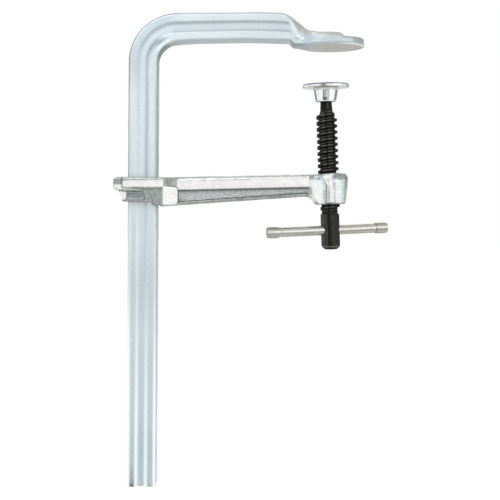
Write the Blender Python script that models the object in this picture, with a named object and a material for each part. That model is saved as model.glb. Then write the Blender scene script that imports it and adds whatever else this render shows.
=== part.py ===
"""All-steel forged bar clamp.

The frame: X runs from the rail to the spindle, Y into the clamp's depth, Z up along
the rail. The origin is the middle of the anvil's clamping face. Lengths are metres.
"""

import math

import bmesh
import bpy
from mathutils import Matrix, Vector

# Rail, bend and fixed arm, one bent bar
THROAT = 0.1405
RAIL_WIDTH = 0.0238
RAIL_DEPTH = 0.012
RAIL_BEVEL = 0.0021
GROOVE_MOUTH = 0.0098
GROOVE_FLOOR = 0.0048
GROOVE_DEPTH = 0.0014
RAIL_REACH = 0.3592
BEND_INNER_RADIUS = 0.016
ARM_RISE = math.radians(1.05)
ARM_ABOVE_FACE = 0.0045

# Anvil, forged flat from the end of the fixed arm
ANVIL_WIDTH = 0.0318
ANVIL_WIDEST_AT = 0.001
ANVIL_TIP_AT = 0.0280
ANVIL_TIP_FULLNESS = 2.5
ANVIL_FLARE_BACK = 0.0345
ANVIL_THICKNESS = 0.0100
ANVIL_TOP_FALL = math.radians(2.4)
ANVIL_EDGE_BEVEL = 0.0008
FACE_HEEL_BACK = 0.0288
FACE_RAMP = 0.0052
SHOULDER_BACK = 0.0402
SHOULDER_FOOT_BACK = 0.0108
SHOULDER_BEVEL = 0.0046
TIP_THICKNESS = 0.0063
TIP_STEP_AT = 0.0062
TIP_STEP_LENGTH = 0.0042
TIP_FLAT_SHARE = 0.24
GROOVE_END_BACK = 0.034
GROOVE_RUNOUT = 0.0045

# Sliding arm: boss, beam and the head that runs on the rail
BOSS_BELOW_FACE = 0.1164
BOSS_HEIGHT = 0.0252
BOSS_WIDEST_RADIUS = 0.0155
BOSS_TOP_RADIUS = 0.0132
BOSS_FOOT_RADIUS = 0.0128
BOSS_TOP_BEVEL = 0.0042
BOSS_FOOT_BEVEL = 0.0012
TRIM_WIDTH = 0.0086
TRIM_PROUD = 0.0007
BEAM_TOP_AT_BOSS = 0.0118
BEAM_TOP_FALL = math.radians(1.6)
BEAM_FOOT_AT_BOSS = 0.0068
BEAM_FOOT_FALL = math.radians(4.25)
BEAM_MEASURED_BACK = 0.025
FLANGE_HALF_DEPTH = 0.0080
FLANGE_HEIGHT = 0.0107
FLANGE_CROWN = 0.0036
WEB_HALF_DEPTH = 0.0052
WEB_DRAFT = 0.0010
FOOT_FLANGE_HALF_DEPTH = 0.0072
FOOT_FLANGE_HEIGHT = 0.0024
BOSS_FILLET = 0.0092
HEAD_HALF_DEPTH = 0.0125
HEAD_WRAP = 0.0111
HEAD_INNER_WALL = 0.0061
HEAD_TOP = 0.0087
HEAD_BAND_FOOT = -0.0022
HEAD_BAND_BEVEL = 0.0017
HEAD_LOBE_CORNER = 0.0038
SKIRT_HALF_DEPTH = 0.0100
SKIRT_WRAP = 0.0040
SKIRT_FOOT = -0.0113
SKIRT_CORNER = 0.0022
CHEEK_FOOT = -0.0141
CHEEK_REACH_IN = 0.0045
CHEEK_HALF_DEPTH = 0.0112
CHEEK_ARC = 0.0140
CHEEK_CORNER = 0.0020
COLUMN_WIDTH = 0.0115
COLUMN_HALF_DEPTH = 0.0116
POCKET_DEPTH = 0.0016
POCKET_LIP = 0.0022
POCKET_END_WALL = 0.0030
POCKET_LENGTH = 0.0160
RAIL_CLEARANCE = 0.0004

# Spindle, toed in towards the rail at its upper end
TOE_IN = math.radians(2.2)
THREAD_PITCH = 0.0050
THREAD_CREST_RADIUS = 0.0085
THREAD_ROOT_RADIUS = 0.0065
THREAD_ABOVE_HEX = 0.0004
THREAD_START_STEPS = 4
THREAD_TURNS = 16
THREAD_CLEARANCE = 0.0003
NECK_FLARE_RADIUS = 0.0050
NECK_FLARE_LENGTH = 0.0050
NECK_RADIUS = 0.0047
HEX_ACROSS_FLATS = 0.0134
HEX_LENGTH = 0.0290
HEX_TOP = -0.0203
HEX_TOP_CHAMFER = 0.0005
HEX_FOOT_CHAMFER = 0.0024
BALL_ABOVE_BOSS = 0.0776
BALL_RADIUS = 0.0052
RING_GROOVE_RADIUS = 0.0041
RING_GROOVE_WIDTH = 0.0024
BALL_CROWN_ANGLE = math.radians(78)

# Snap ring in the spindle's groove
RING_WIRE_RADIUS = 0.0009
RING_FIT = 0.00025
RING_GAP = math.radians(26)

# Pressure plate on the spindle's ball end
PLATE_RADIUS = 0.0190
PLATE_THICKNESS = 0.0029
PLATE_EDGE_BEVEL = 0.0007
PLATE_OVER_SOCKET = 0.0028
PLATE_TILT_LIMIT = math.radians(6.2)
PLATE_LEAN = math.radians(1.2)
HUB_TOP_RADIUS = 0.0100
HUB_FOOT_RADIUS = 0.0082
HUB_LENGTH = 0.0115
HUB_FOOT_ROUND = 0.0012
HUB_LIP = 0.0013
HUB_FLUTES = 6
FIRST_FLUTE_AT = math.radians(-96.4)
FLUTE_WIDTH = 0.0046
FLUTE_DEPTH = 0.0008
FLUTE_FOOT_WALL = 0.0012
FLUTE_TOP_WALL = 0.0024
SOCKET_CLEARANCE = 0.0003
SOCKET_CROWN_ANGLE = math.radians(80)

# Tommy bar and its end caps
TOMMY_ANGLE = math.radians(11.4)
TOMMY_BELOW_BOSS = 0.0337
TOMMY_LENGTH = 0.103
TOMMY_RADIUS = 0.00375
TOMMY_HOLE_CLEARANCE = 0.0003
TOMMY_REST_SHIFT = -0.0021
CAP_LENGTH = 0.0100
CAP_RADIUS = 0.0047
CAP_RIM_RADIUS = 0.0044
CAP_END_WALL = 0.0016
CAP_END_BEVEL = 0.0006
CAP_FIT = 0.0001

# How finely the round shapes are cut
ROUND_SIDES = 24
PLATE_SIDES = 48
WIRE_SIDES = 10
BEND_STEPS = 16
CORNER_STEPS = 5
TIP_STEPS = 9

# Overrun of every cutter past what it cuts
OVERRUN = 0.002

# Where a surface turns from smooth to sharp
BAR_SMOOTH_ANGLE = math.radians(30)
TURNED_SMOOTH_ANGLE = math.radians(32)
WIRE_SMOOTH_ANGLE = math.radians(50)

# Axial shares of one pitch: a flank, the crest, a flank, and the rest is root
FLANK_SHARE = 0.17
CREST_SHARE = 0.38
THREAD_FADE_TURNS = 0.6

# Where the arm starts to flare into the anvil, as a share of the shoulder's fall
FLARE_START_SHARE = 0.35

# How much of the ball lies below its middle, as a share of its radius
BALL_FOOT_SHARE = 0.27

# How far the neck's flare has closed in at its middle
NECK_FLARE_SHARE = 0.7

# The beam's crown, as shares of the flange's half depth and of the crown's height
CROWN_SHARES = ((0.84, 0.28), (0.5, 0.0))

# Where the fillet under the boss ends, as a share of its length
FILLET_END_SHARE = 0.97

# The boss's shoulder, as shares of the way in to the top radius and of the top bevel
BOSS_CROWN_SHARES = ((0.0, 1.5), (0.25, 0.75))

# The cap's round sides, as shares of its length from the outer end
CAP_BULGE_SHARES = (0.68, 0.3)

# Anvil section from its lower edge to its crown, as shares of half width and thickness
ANVIL_SIDE_SHARES = (
    (1.0, 0.45),
    (0.99, 0.68),
    (0.965, 0.84),
    (0.91, 0.94),
    (0.74, 0.985),
    (0.36, 1.0),
)

# Stations along the anvil, as shares of the run from the shoulder to the widest place
ANVIL_RUN_SHARES = (
    *(0.0, 0.07, 0.13, 0.19, 0.25, 0.31, 0.37, 0.43),
    *(0.49, 0.56, 0.63, 0.70, 0.79, 0.89, 1.0),
)


def clear_scene():
    for old in list(bpy.data.objects):
        bpy.data.objects.remove(old, do_unlink=True)


def make_material(name, colour, roughness, metallic):
    material = bpy.data.materials.new(name)
    material.use_nodes = True
    shader = material.node_tree.nodes["Principled BSDF"]
    shader.inputs["Base Color"].default_value = (*colour, 1.0)
    shader.inputs["Roughness"].default_value = roughness
    shader.inputs["Metallic"].default_value = metallic
    return material


def smoothstep(share):
    share = min(max(share, 0.0), 1.0)
    return share * share * (3.0 - 2.0 * share)


def blend(start, end, share):
    return start + (end - start) * share


def finish_mesh(name, bm, material=None, parent=None, smooth_angle=None):
    """An object from a bmesh, with its normals out and round parts smooth."""
    bmesh.ops.recalc_face_normals(bm, faces=bm.faces)
    mesh = bpy.data.meshes.new(name)
    bm.to_mesh(mesh)
    bm.free()
    obj = bpy.data.objects.new(name, mesh)
    bpy.context.collection.objects.link(obj)
    if material:
        mesh.materials.append(material)
    if parent:
        obj.parent = parent
    if smooth_angle:
        mesh.shade_smooth()
        mesh.set_sharp_from_angle(angle=smooth_angle)
    return obj


def as_helper(obj):
    """Marks an object as a tool for a Boolean, left out of the model."""
    obj.hide_render = True
    obj.display_type = "WIRE"
    return obj


def combine(obj, helper, operation):
    modifier = obj.modifiers.new(helper.name, "BOOLEAN")
    modifier.operation = operation
    modifier.solver = "EXACT"
    modifier.object = as_helper(helper)


def loft(name, rings, **options):
    """One closed skin over rings of equally many points, with both ends capped."""
    bm = bmesh.new()
    rows = [[bm.verts.new(point) for point in ring] for ring in rings]
    for lower, upper in zip(rows, rows[1:]):
        for i in range(len(lower)):
            j = (i + 1) % len(lower)
            bm.faces.new((lower[i], lower[j], upper[j], upper[i]))
    bm.faces.new(rows[0])
    bm.faces.new(rows[-1])
    return finish_mesh(name, bm, **options)


def prism(name, outline, half_depth, bevel=0, **options):
    """An outline of (x, z) points drawn out to both sides of Y = 0, its two faces' edges bevelled."""
    bm = bmesh.new()
    front = bm.faces.new([bm.verts.new((x, -half_depth, z)) for x, z in outline])
    drawn = bmesh.ops.extrude_face_region(bm, geom=[front])
    moved = [item for item in drawn["geom"] if isinstance(item, bmesh.types.BMVert)]
    bmesh.ops.translate(bm, verts=moved, vec=(0, 2 * half_depth, 0))
    if bevel:
        rims = [edge for edge in bm.edges if edge.verts[0].co.y == edge.verts[1].co.y]
        bmesh.ops.bevel(bm, geom=rims, offset=bevel, segments=2, profile=0.5, affect="EDGES")
    return finish_mesh(name, bm, **options)


def rounded_outline(corners):
    """An outline from (x, z, radius) corners, each with its corner arc."""
    outline = []
    for index, (x, z, radius) in enumerate(corners):
        corner = Vector((x, z))
        if radius == 0:
            outline.append((x, z))
            continue
        before = Vector(corners[index - 1][:2]) - corner
        after = Vector(corners[(index + 1) % len(corners)][:2]) - corner
        before.normalize()
        after.normalize()
        half_angle = before.angle(after) / 2
        start = before * (radius / math.tan(half_angle))
        centre = (before + after).normalized() * (radius / math.sin(half_angle))
        sweep = math.pi - 2 * half_angle
        side = 1 if before.x * after.y - before.y * after.x < 0 else -1
        for step in range(CORNER_STEPS + 1):
            turn = side * sweep * step / CORNER_STEPS
            spoke = start - centre
            turned = Vector(
                (
                    spoke.x * math.cos(turn) - spoke.y * math.sin(turn),
                    spoke.x * math.sin(turn) + spoke.y * math.cos(turn),
                )
            )
            point = corner + centre + turned
            outline.append((point.x, point.y))
    return outline


def both_sides(half_section):
    """A closed section from its +Y half, listed from the foot to the top."""
    return half_section + [(-y, z) for y, z in reversed(half_section)]


# Fixed bar


def bar_half_section(groove_depth=GROOVE_DEPTH, outer_bevel=RAIL_BEVEL):
    """(depth, distance from the inner edge) points of the rail's section, +Y half."""
    half_depth = RAIL_DEPTH / 2
    middle = RAIL_WIDTH / 2
    return [
        (half_depth - RAIL_BEVEL, 0),
        (half_depth, RAIL_BEVEL),
        (half_depth, middle - GROOVE_MOUTH / 2),
        (half_depth - groove_depth, middle - GROOVE_FLOOR / 2),
        (half_depth - groove_depth, middle + GROOVE_FLOOR / 2),
        (half_depth, middle + GROOVE_MOUTH / 2),
        (half_depth, RAIL_WIDTH - outer_bevel),
        (half_depth - outer_bevel, RAIL_WIDTH),
    ]


def arm_underside(x):
    return ARM_ABOVE_FACE + x * math.tan(ARM_RISE)


def arm_topside(x):
    return arm_underside(x) + RAIL_WIDTH / math.cos(ARM_RISE)


def anvil_half_width(x):
    if x > ANVIL_WIDEST_AT:
        share = (x - ANVIL_WIDEST_AT) / (ANVIL_TIP_AT - ANVIL_WIDEST_AT)
        return ANVIL_WIDTH / 2 * math.sqrt(max(1 - share**ANVIL_TIP_FULLNESS, 0))
    run = ANVIL_WIDEST_AT + ANVIL_FLARE_BACK
    share = min(max((x + ANVIL_FLARE_BACK) / run, 0), 1)
    return blend(RAIL_DEPTH / 2, ANVIL_WIDTH / 2, math.sin(share * math.pi / 2))


def anvil_underside(x):
    start = -FACE_HEEL_BACK - FACE_RAMP
    return arm_underside(x) * (1 - smoothstep((x - start) / FACE_RAMP))


def anvil_thickness(x):
    step = smoothstep((x - TIP_STEP_AT) / TIP_STEP_LENGTH)
    fallen = (x + SHOULDER_FOOT_BACK) * math.tan(ANVIL_TOP_FALL)
    return blend(ANVIL_THICKNESS - fallen, TIP_THICKNESS, step)


def anvil_ring(x):
    """The bar's section at x, on its way from the grooved arm to the flat anvil."""
    shoulder = smoothstep((x + SHOULDER_BACK) / (SHOULDER_BACK - SHOULDER_FOOT_BACK))
    groove_left = 1 - smoothstep((x + GROOVE_END_BACK + GROOVE_RUNOUT) / GROOVE_RUNOUT)
    bevel_share = min(2 * shoulder, 1)
    outer_bevel = blend(RAIL_BEVEL, SHOULDER_BEVEL, bevel_share)
    low = anvil_underside(x)
    top = blend(arm_topside(x), anvil_thickness(x), shoulder)
    scale = (top - low) / RAIL_WIDTH
    arm_half = [
        (y, low + distance * scale)
        for y, distance in bar_half_section(GROOVE_DEPTH * groove_left, outer_bevel)
    ]
    half_width = anvil_half_width(x)
    anvil_half = [(half_width - ANVIL_EDGE_BEVEL, low), (half_width, low + ANVIL_EDGE_BEVEL)]
    for across_share, up_share in ANVIL_SIDE_SHARES:
        anvil_half.append((half_width * across_share, blend(low, top, up_share)))
    flare = smoothstep((shoulder - FLARE_START_SHARE) / (1 - FLARE_START_SHARE))
    half = []
    for (arm_y, arm_z), (anvil_y, anvil_z) in zip(arm_half, anvil_half):
        half.append((blend(arm_y, anvil_y, flare), blend(arm_z, anvil_z, flare)))
    return [(x, y, z) for y, z in both_sides(half)]


def make_fixed_bar(material):
    section = both_sides(bar_half_section())
    rings = [[(-THROAT - distance, y, -RAIL_REACH) for y, distance in section]]
    centre_x = -THROAT + BEND_INNER_RADIUS
    centre_z = arm_underside(centre_x) - BEND_INNER_RADIUS / math.cos(ARM_RISE)
    for step in range(BEND_STEPS + 1):
        angle = blend(math.pi, math.pi / 2 + ARM_RISE, step / BEND_STEPS)
        ring = []
        for y, distance in section:
            radius = BEND_INNER_RADIUS + distance
            ring.append((centre_x + radius * math.cos(angle), y, centre_z + radius * math.sin(angle)))
        rings.append(ring)
    for share in ANVIL_RUN_SHARES:
        rings.append(anvil_ring(blend(-SHOULDER_BACK, ANVIL_WIDEST_AT, share)))
    tip_angle = math.acos(TIP_FLAT_SHARE)
    for step in range(1, TIP_STEPS + 1):
        along = math.sin(tip_angle * step / TIP_STEPS)
        rings.append(anvil_ring(blend(ANVIL_WIDEST_AT, ANVIL_TIP_AT, along)))
    return loft("fixed_bar", rings, material=material, smooth_angle=BAR_SMOOTH_ANGLE)


# Turned and threaded shapes


class Turning:
    """A skin built ring by ring up an axis, with a closed foot and a closed top."""

    def __init__(self, sides, phase=0):
        self.bm = bmesh.new()
        self.sides = sides
        self.phase = phase
        self.last = None

    def vert(self, radius, step, height):
        angle = self.phase + 2 * math.pi * step / self.sides
        return self.bm.verts.new((radius * math.cos(angle), radius * math.sin(angle), height))

    def add(self, ring):
        if self.last is None:
            self.bm.faces.new(ring)
        else:
            for i in range(self.sides):
                j = (i + 1) % self.sides
                self.bm.faces.new((self.last[i], self.last[j], ring[j], ring[i]))
        self.last = ring

    def ring(self, radius, height):
        self.add([self.vert(radius, i, height) for i in range(self.sides)])

    def hexagon(self, apothem, height):
        """A ring on a hexagon, the middle of a flat on the phase angle."""
        ring = []
        for i in range(self.sides):
            from_corner = (2 * math.pi * i / self.sides + math.pi / 6) % (math.pi / 3)
            radius = apothem / math.cos(from_corner - math.pi / 6)
            ring.append(self.vert(radius, i, height))
        self.add(ring)

    def thread(self, root, crest, foot, turns, grow=0, top_radius=None, start=0):
        """A right-hand thread that fades into the root at both ends, begun at a side."""
        self.last = self.last[start:] + self.last[:start]
        flank = FLANK_SHARE * THREAD_PITCH
        half_crest = CREST_SHARE * THREAD_PITCH / 2 + grow
        middle = THREAD_PITCH / 2
        profile = (
            (root, 0),
            (root, middle - half_crest - flank),
            (crest, middle - half_crest),
            (crest, middle + half_crest),
            (root, middle + half_crest + flank),
        )
        steps = turns * self.sides
        fade_steps = THREAD_FADE_TURNS * self.sides
        rows = []
        for row, (radius, rise) in enumerate(profile):
            count = steps + self.sides if row == 0 else steps
            verts = []
            for step in range(count + 1):
                fade = smoothstep(min(step, steps - step) / fade_steps)
                height = foot + THREAD_PITCH * step / self.sides + rise
                verts.append(self.vert(blend(root, radius, fade), step + start, height))
            rows.append(verts)
        rows.append(rows[0][self.sides :])
        for lower, upper in zip(rows, rows[1:]):
            for step in range(steps):
                self.bm.faces.new((lower[step], lower[step + 1], upper[step + 1], upper[step]))
        first = rows[0]
        seam = [row[0] for row in rows]
        for i in range(self.sides - 1):
            self.bm.faces.new((self.last[i], self.last[i + 1], first[i + 1], first[i]))
        self.bm.faces.new([self.last[-1], self.last[0], *seam, first[self.sides - 1]])
        top = first[steps:]
        upper_seam = [row[steps] for row in rows]
        end = foot + THREAD_PITCH * (turns + 1)
        self.last = [self.vert(top_radius or root, i + start, end) for i in range(self.sides)]
        for i in range(1, self.sides):
            self.bm.faces.new((top[i], top[i + 1], self.last[(i + 1) % self.sides], self.last[i]))
        self.bm.faces.new([*reversed(upper_seam), top[1], self.last[1], self.last[0]])
        self.last = self.last[self.sides - start :] + self.last[: self.sides - start]

    def close(self, name, **options):
        self.bm.faces.new(self.last)
        return finish_mesh(name, self.bm, **options)


def thread_foot():
    return HEX_TOP + THREAD_ABOVE_HEX


def make_spindle(material, axis):
    body = Turning(ROUND_SIDES, TOMMY_ANGLE)
    apothem = HEX_ACROSS_FLATS / 2
    body.hexagon(apothem - HEX_FOOT_CHAMFER, HEX_TOP - HEX_LENGTH)
    body.hexagon(apothem, HEX_TOP - HEX_LENGTH + HEX_FOOT_CHAMFER)
    body.hexagon(apothem, HEX_TOP - HEX_TOP_CHAMFER)
    body.ring(apothem - HEX_TOP_CHAMFER / 2, HEX_TOP)
    body.ring(THREAD_ROOT_RADIUS, HEX_TOP + HEX_TOP_CHAMFER / 2)
    body.thread(
        THREAD_ROOT_RADIUS,
        THREAD_CREST_RADIUS,
        thread_foot(),
        THREAD_TURNS,
        top_radius=NECK_FLARE_RADIUS,
        start=THREAD_START_STEPS,
    )
    flare_foot = thread_foot() + THREAD_PITCH * (THREAD_TURNS + 1)
    flare_middle = blend(NECK_FLARE_RADIUS, NECK_RADIUS, NECK_FLARE_SHARE)
    body.ring(flare_middle, flare_foot + NECK_FLARE_LENGTH / 2)
    body.ring(NECK_RADIUS, flare_foot + NECK_FLARE_LENGTH)
    half_groove = RING_GROOVE_WIDTH / 2
    groove_middle = BALL_ABOVE_BOSS - ring_drop()
    body.ring(NECK_RADIUS, groove_middle - half_groove)
    body.ring(RING_GROOVE_RADIUS, groove_middle - half_groove)
    body.ring(RING_GROOVE_RADIUS, groove_middle + half_groove)
    start = -math.asin(ball_foot() / BALL_RADIUS)
    for step in range(CORNER_STEPS + 2):
        angle = blend(start, BALL_CROWN_ANGLE, step / (CORNER_STEPS + 1))
        body.ring(BALL_RADIUS * math.cos(angle), BALL_ABOVE_BOSS + BALL_RADIUS * math.sin(angle))
    spindle = body.close("spindle", material=material, parent=axis, smooth_angle=TURNED_SMOOTH_ANGLE)
    drill = Turning(ROUND_SIDES)
    drill.ring(TOMMY_RADIUS + TOMMY_HOLE_CLEARANCE, -apothem - OVERRUN)
    drill.ring(TOMMY_RADIUS + TOMMY_HOLE_CLEARANCE, apothem + OVERRUN)
    hole = drill.close("tommy_hole_cutter", parent=axis)
    hole.matrix_local = tommy_matrix()
    combine(spindle, hole, "DIFFERENCE")
    return spindle


def ball_foot():
    """How far below the ball's middle the groove cuts it off."""
    return BALL_FOOT_SHARE * BALL_RADIUS


def ring_drop():
    """How far the snap ring's middle lies below the ball's middle."""
    return ball_foot() + RING_GROOVE_WIDTH / 2


def tommy_matrix():
    """Turns Z onto the tommy bar's axis, seen in the spindle's frame."""
    turn = Matrix.Rotation(TOMMY_ANGLE, 4, "Z") @ Matrix.Rotation(math.pi / 2, 4, "Y")
    return Matrix.Translation((0, 0, -TOMMY_BELOW_BOSS)) @ turn


def make_snap_ring(material, axis):
    middle_radius = RING_GROOVE_RADIUS + RING_FIT + RING_WIRE_RADIUS
    height = BALL_ABOVE_BOSS - ring_drop()
    rings = []
    for step in range(ROUND_SIDES + 1):
        angle = blend(RING_GAP / 2, 2 * math.pi - RING_GAP / 2, step / ROUND_SIDES)
        ring = []
        for side in range(WIRE_SIDES):
            around = 2 * math.pi * side / WIRE_SIDES
            radius = middle_radius + RING_WIRE_RADIUS * math.cos(around)
            up = height + RING_WIRE_RADIUS * math.sin(around)
            ring.append((radius * math.cos(angle), radius * math.sin(angle), up))
        rings.append(ring)
    return loft("snap_ring", rings, material=material, parent=axis, smooth_angle=WIRE_SMOOTH_ANGLE)


def make_pressure_plate(material, axis):
    """Turned about Z with the ball's middle at its origin, then laid over to its stop."""
    socket_radius = BALL_RADIUS + SOCKET_CLEARANCE
    face = socket_radius + PLATE_OVER_SOCKET
    underside = face - PLATE_THICKNESS
    foot = underside - HUB_LENGTH
    lip_top = foot + HUB_LIP
    ring_radius = RING_GROOVE_RADIUS + RING_FIT + 2 * RING_WIRE_RADIUS
    cavity_radius = ring_radius + ring_drop() * math.sin(PLATE_TILT_LIMIT) + SOCKET_CLEARANCE
    mouth_radius = NECK_RADIUS - foot * math.sin(PLATE_TILT_LIMIT) + SOCKET_CLEARANCE
    shell = Turning(PLATE_SIDES)
    shell.ring(HUB_FOOT_RADIUS - HUB_FOOT_ROUND, foot)
    shell.ring(HUB_FOOT_RADIUS - HUB_FOOT_ROUND / 4, foot + HUB_FOOT_ROUND / 3)
    shell.ring(HUB_FOOT_RADIUS, foot + HUB_FOOT_ROUND)
    shell.ring(HUB_TOP_RADIUS, underside)
    shell.ring(PLATE_RADIUS - PLATE_EDGE_BEVEL, underside)
    shell.ring(PLATE_RADIUS, underside + PLATE_EDGE_BEVEL)
    shell.ring(PLATE_RADIUS, face - PLATE_EDGE_BEVEL)
    shell.ring(PLATE_RADIUS - PLATE_EDGE_BEVEL, face)
    plate = shell.close("pressure_plate", material=material, parent=axis, smooth_angle=TURNED_SMOOTH_ANGLE)
    socket = Turning(ROUND_SIDES)
    socket.ring(mouth_radius, foot - OVERRUN)
    socket.ring(mouth_radius, lip_top)
    socket.ring(cavity_radius, lip_top)
    socket.ring(cavity_radius, -SOCKET_CLEARANCE)
    socket.ring(socket_radius / math.cos(math.pi / ROUND_SIDES), 0)
    for step in range(1, CORNER_STEPS + 1):
        angle = blend(0, SOCKET_CROWN_ANGLE, step / CORNER_STEPS)
        socket.ring(socket_radius * math.cos(angle), socket_radius * math.sin(angle))
    combine(plate, socket.close("socket_cutter", parent=plate), "DIFFERENCE")
    wall_slope = (HUB_TOP_RADIUS - HUB_FOOT_RADIUS) / HUB_LENGTH
    for index in range(HUB_FLUTES):
        turn = Matrix.Rotation(FIRST_FLUTE_AT + 2 * math.pi * index / HUB_FLUTES, 4, "Z")
        rings = []
        for height in (foot + FLUTE_FOOT_WALL, underside - FLUTE_TOP_WALL):
            wall = HUB_FOOT_RADIUS + (height - foot) * wall_slope
            inner = wall - FLUTE_DEPTH
            outer = wall + OVERRUN
            narrow = FLUTE_WIDTH / 2 - FLUTE_DEPTH / 2
            wide = FLUTE_WIDTH / 2
            corners = ((inner, -narrow), (outer, -wide), (outer, wide), (inner, narrow))
            rings.append([turn @ Vector((x, y, height)) for x, y in corners])
        combine(plate, loft(f"flute_cutter_{index + 1}", rings, parent=plate), "DIFFERENCE")
    plate.location = (0, 0, BALL_ABOVE_BOSS)
    plate.rotation_euler = (plate_rest_tilt(), PLATE_LEAN, 0)
    return plate


def plate_rest_tilt():
    """The tilt across the rail at which the leaning plate meets its stop."""
    return math.acos(math.cos(PLATE_TILT_LIMIT) / math.cos(PLATE_LEAN))


# Tommy bar


def make_tommy(bar_material, cap_material, axis):
    slide = bpy.data.objects.new("tommy_axis", None)
    bpy.context.collection.objects.link(slide)
    slide.parent = axis
    slide.matrix_local = tommy_matrix() @ Matrix.Translation((0, 0, TOMMY_REST_SHIFT))
    half = TOMMY_LENGTH / 2
    bar_end = half - CAP_END_WALL - CAP_FIT
    rod = Turning(ROUND_SIDES)
    rod.ring(TOMMY_RADIUS, -bar_end)
    rod.ring(TOMMY_RADIUS, bar_end)
    rod.close("tommy_bar", material=bar_material, parent=slide, smooth_angle=TURNED_SMOOTH_ANGLE)
    for name, side in (("tommy_cap_left", -1), ("tommy_cap_right", 1)):
        cap = Turning(ROUND_SIDES)
        mouth = half - CAP_LENGTH
        bore = TOMMY_RADIUS + CAP_FIT
        cap.ring(bore, side * mouth)
        cap.ring(CAP_RIM_RADIUS, side * mouth)
        for share in CAP_BULGE_SHARES:
            cap.ring(CAP_RADIUS, side * (half - share * CAP_LENGTH))
        cap.ring(CAP_RIM_RADIUS, side * (half - CAP_END_BEVEL))
        cap.ring(CAP_RIM_RADIUS - CAP_END_BEVEL, side * half)
        cap.bm.faces.new(cap.last)
        bottom = [face for face in cap.bm.faces if len(face.verts) == ROUND_SIDES][0]
        inner_end = bar_end + CAP_FIT
        sunk = bmesh.ops.extrude_discrete_faces(cap.bm, faces=[bottom])["faces"][0]
        for vert in sunk.verts:
            vert.co.z = side * inner_end
        finish_mesh(name, cap.bm, cap_material, slide, TURNED_SMOOTH_ANGLE)


# Sliding arm


def beam_half_section(top, foot):
    """(depth, height) points of the beam's section, +Y half, from the foot up."""
    foot_top = foot + FOOT_FLANGE_HEIGHT
    flange_foot = top - FLANGE_HEIGHT
    half = [
        (FOOT_FLANGE_HALF_DEPTH - WEB_DRAFT, foot),
        (FOOT_FLANGE_HALF_DEPTH, foot + WEB_DRAFT),
        (FOOT_FLANGE_HALF_DEPTH, foot_top),
        (WEB_HALF_DEPTH, foot_top + WEB_DRAFT),
        (WEB_HALF_DEPTH, flange_foot - WEB_DRAFT),
        (FLANGE_HALF_DEPTH, flange_foot),
        (FLANGE_HALF_DEPTH, top - FLANGE_CROWN),
    ]
    for across_share, down_share in CROWN_SHARES:
        half.append((across_share * FLANGE_HALF_DEPTH, top - down_share * FLANGE_CROWN))
    return half


def beam_ring(x):
    back = -x - BEAM_MEASURED_BACK
    top = BEAM_TOP_AT_BOSS - back * math.tan(BEAM_TOP_FALL)
    foot = -BEAM_FOOT_AT_BOSS - back * math.tan(BEAM_FOOT_FALL)
    into_fillet = x + BOSS_FOOT_RADIUS + BOSS_FILLET
    if into_fillet > 0:
        share = min(into_fillet / BOSS_FILLET, FILLET_END_SHARE)
        drop = BOSS_HEIGHT / 2 - BOSS_FOOT_BEVEL - BEAM_FOOT_AT_BOSS
        foot -= drop * (1 - math.sqrt(1 - share * share))
    return [(x, y, z) for y, z in both_sides(beam_half_section(top, foot))]


def make_beam():
    start = -THROAT + HEAD_INNER_WALL / 2
    fillet = -BOSS_FOOT_RADIUS - BOSS_FILLET
    places = [start, fillet]
    for step in range(1, CORNER_STEPS + 1):
        places.append(fillet + FILLET_END_SHARE * BOSS_FILLET * step / CORNER_STEPS)
    places.append(-BOSS_FOOT_RADIUS / 2)
    return loft("beam_form", [beam_ring(x) for x in places])


def make_boss(axis):
    half = BOSS_HEIGHT / 2
    boss = Turning(PLATE_SIDES)
    boss.ring(BOSS_FOOT_RADIUS - BOSS_FOOT_BEVEL, -half)
    boss.ring(BOSS_FOOT_RADIUS, -half + BOSS_FOOT_BEVEL)
    for in_share, down_share in BOSS_CROWN_SHARES:
        radius = blend(BOSS_WIDEST_RADIUS, BOSS_TOP_RADIUS, in_share)
        boss.ring(radius, half - down_share * BOSS_TOP_BEVEL)
    boss.ring(BOSS_TOP_RADIUS, half - BOSS_FOOT_BEVEL / 2)
    boss.ring(BOSS_TOP_RADIUS - BOSS_FOOT_BEVEL, half)
    return boss.close("boss_form", parent=axis)


def make_trim(axis):
    """The trimmed forging seam that runs down the boss, front and back."""
    half = BOSS_HEIGHT / 2 - BOSS_FOOT_BEVEL
    across = TRIM_WIDTH / 2
    places = (
        (-half, BOSS_FOOT_RADIUS),
        (half - 2 * BOSS_TOP_BEVEL, BOSS_WIDEST_RADIUS),
        (half - BOSS_TOP_BEVEL / 2, BOSS_TOP_RADIUS),
    )
    rings = []
    for height, radius in places:
        reach = radius + TRIM_PROUD
        corners = ((-across, -reach), (across, -reach), (across, reach), (-across, reach))
        rings.append([(x, y, height) for x, y in corners])
    return loft("trim_form", rings, parent=axis)


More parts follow.
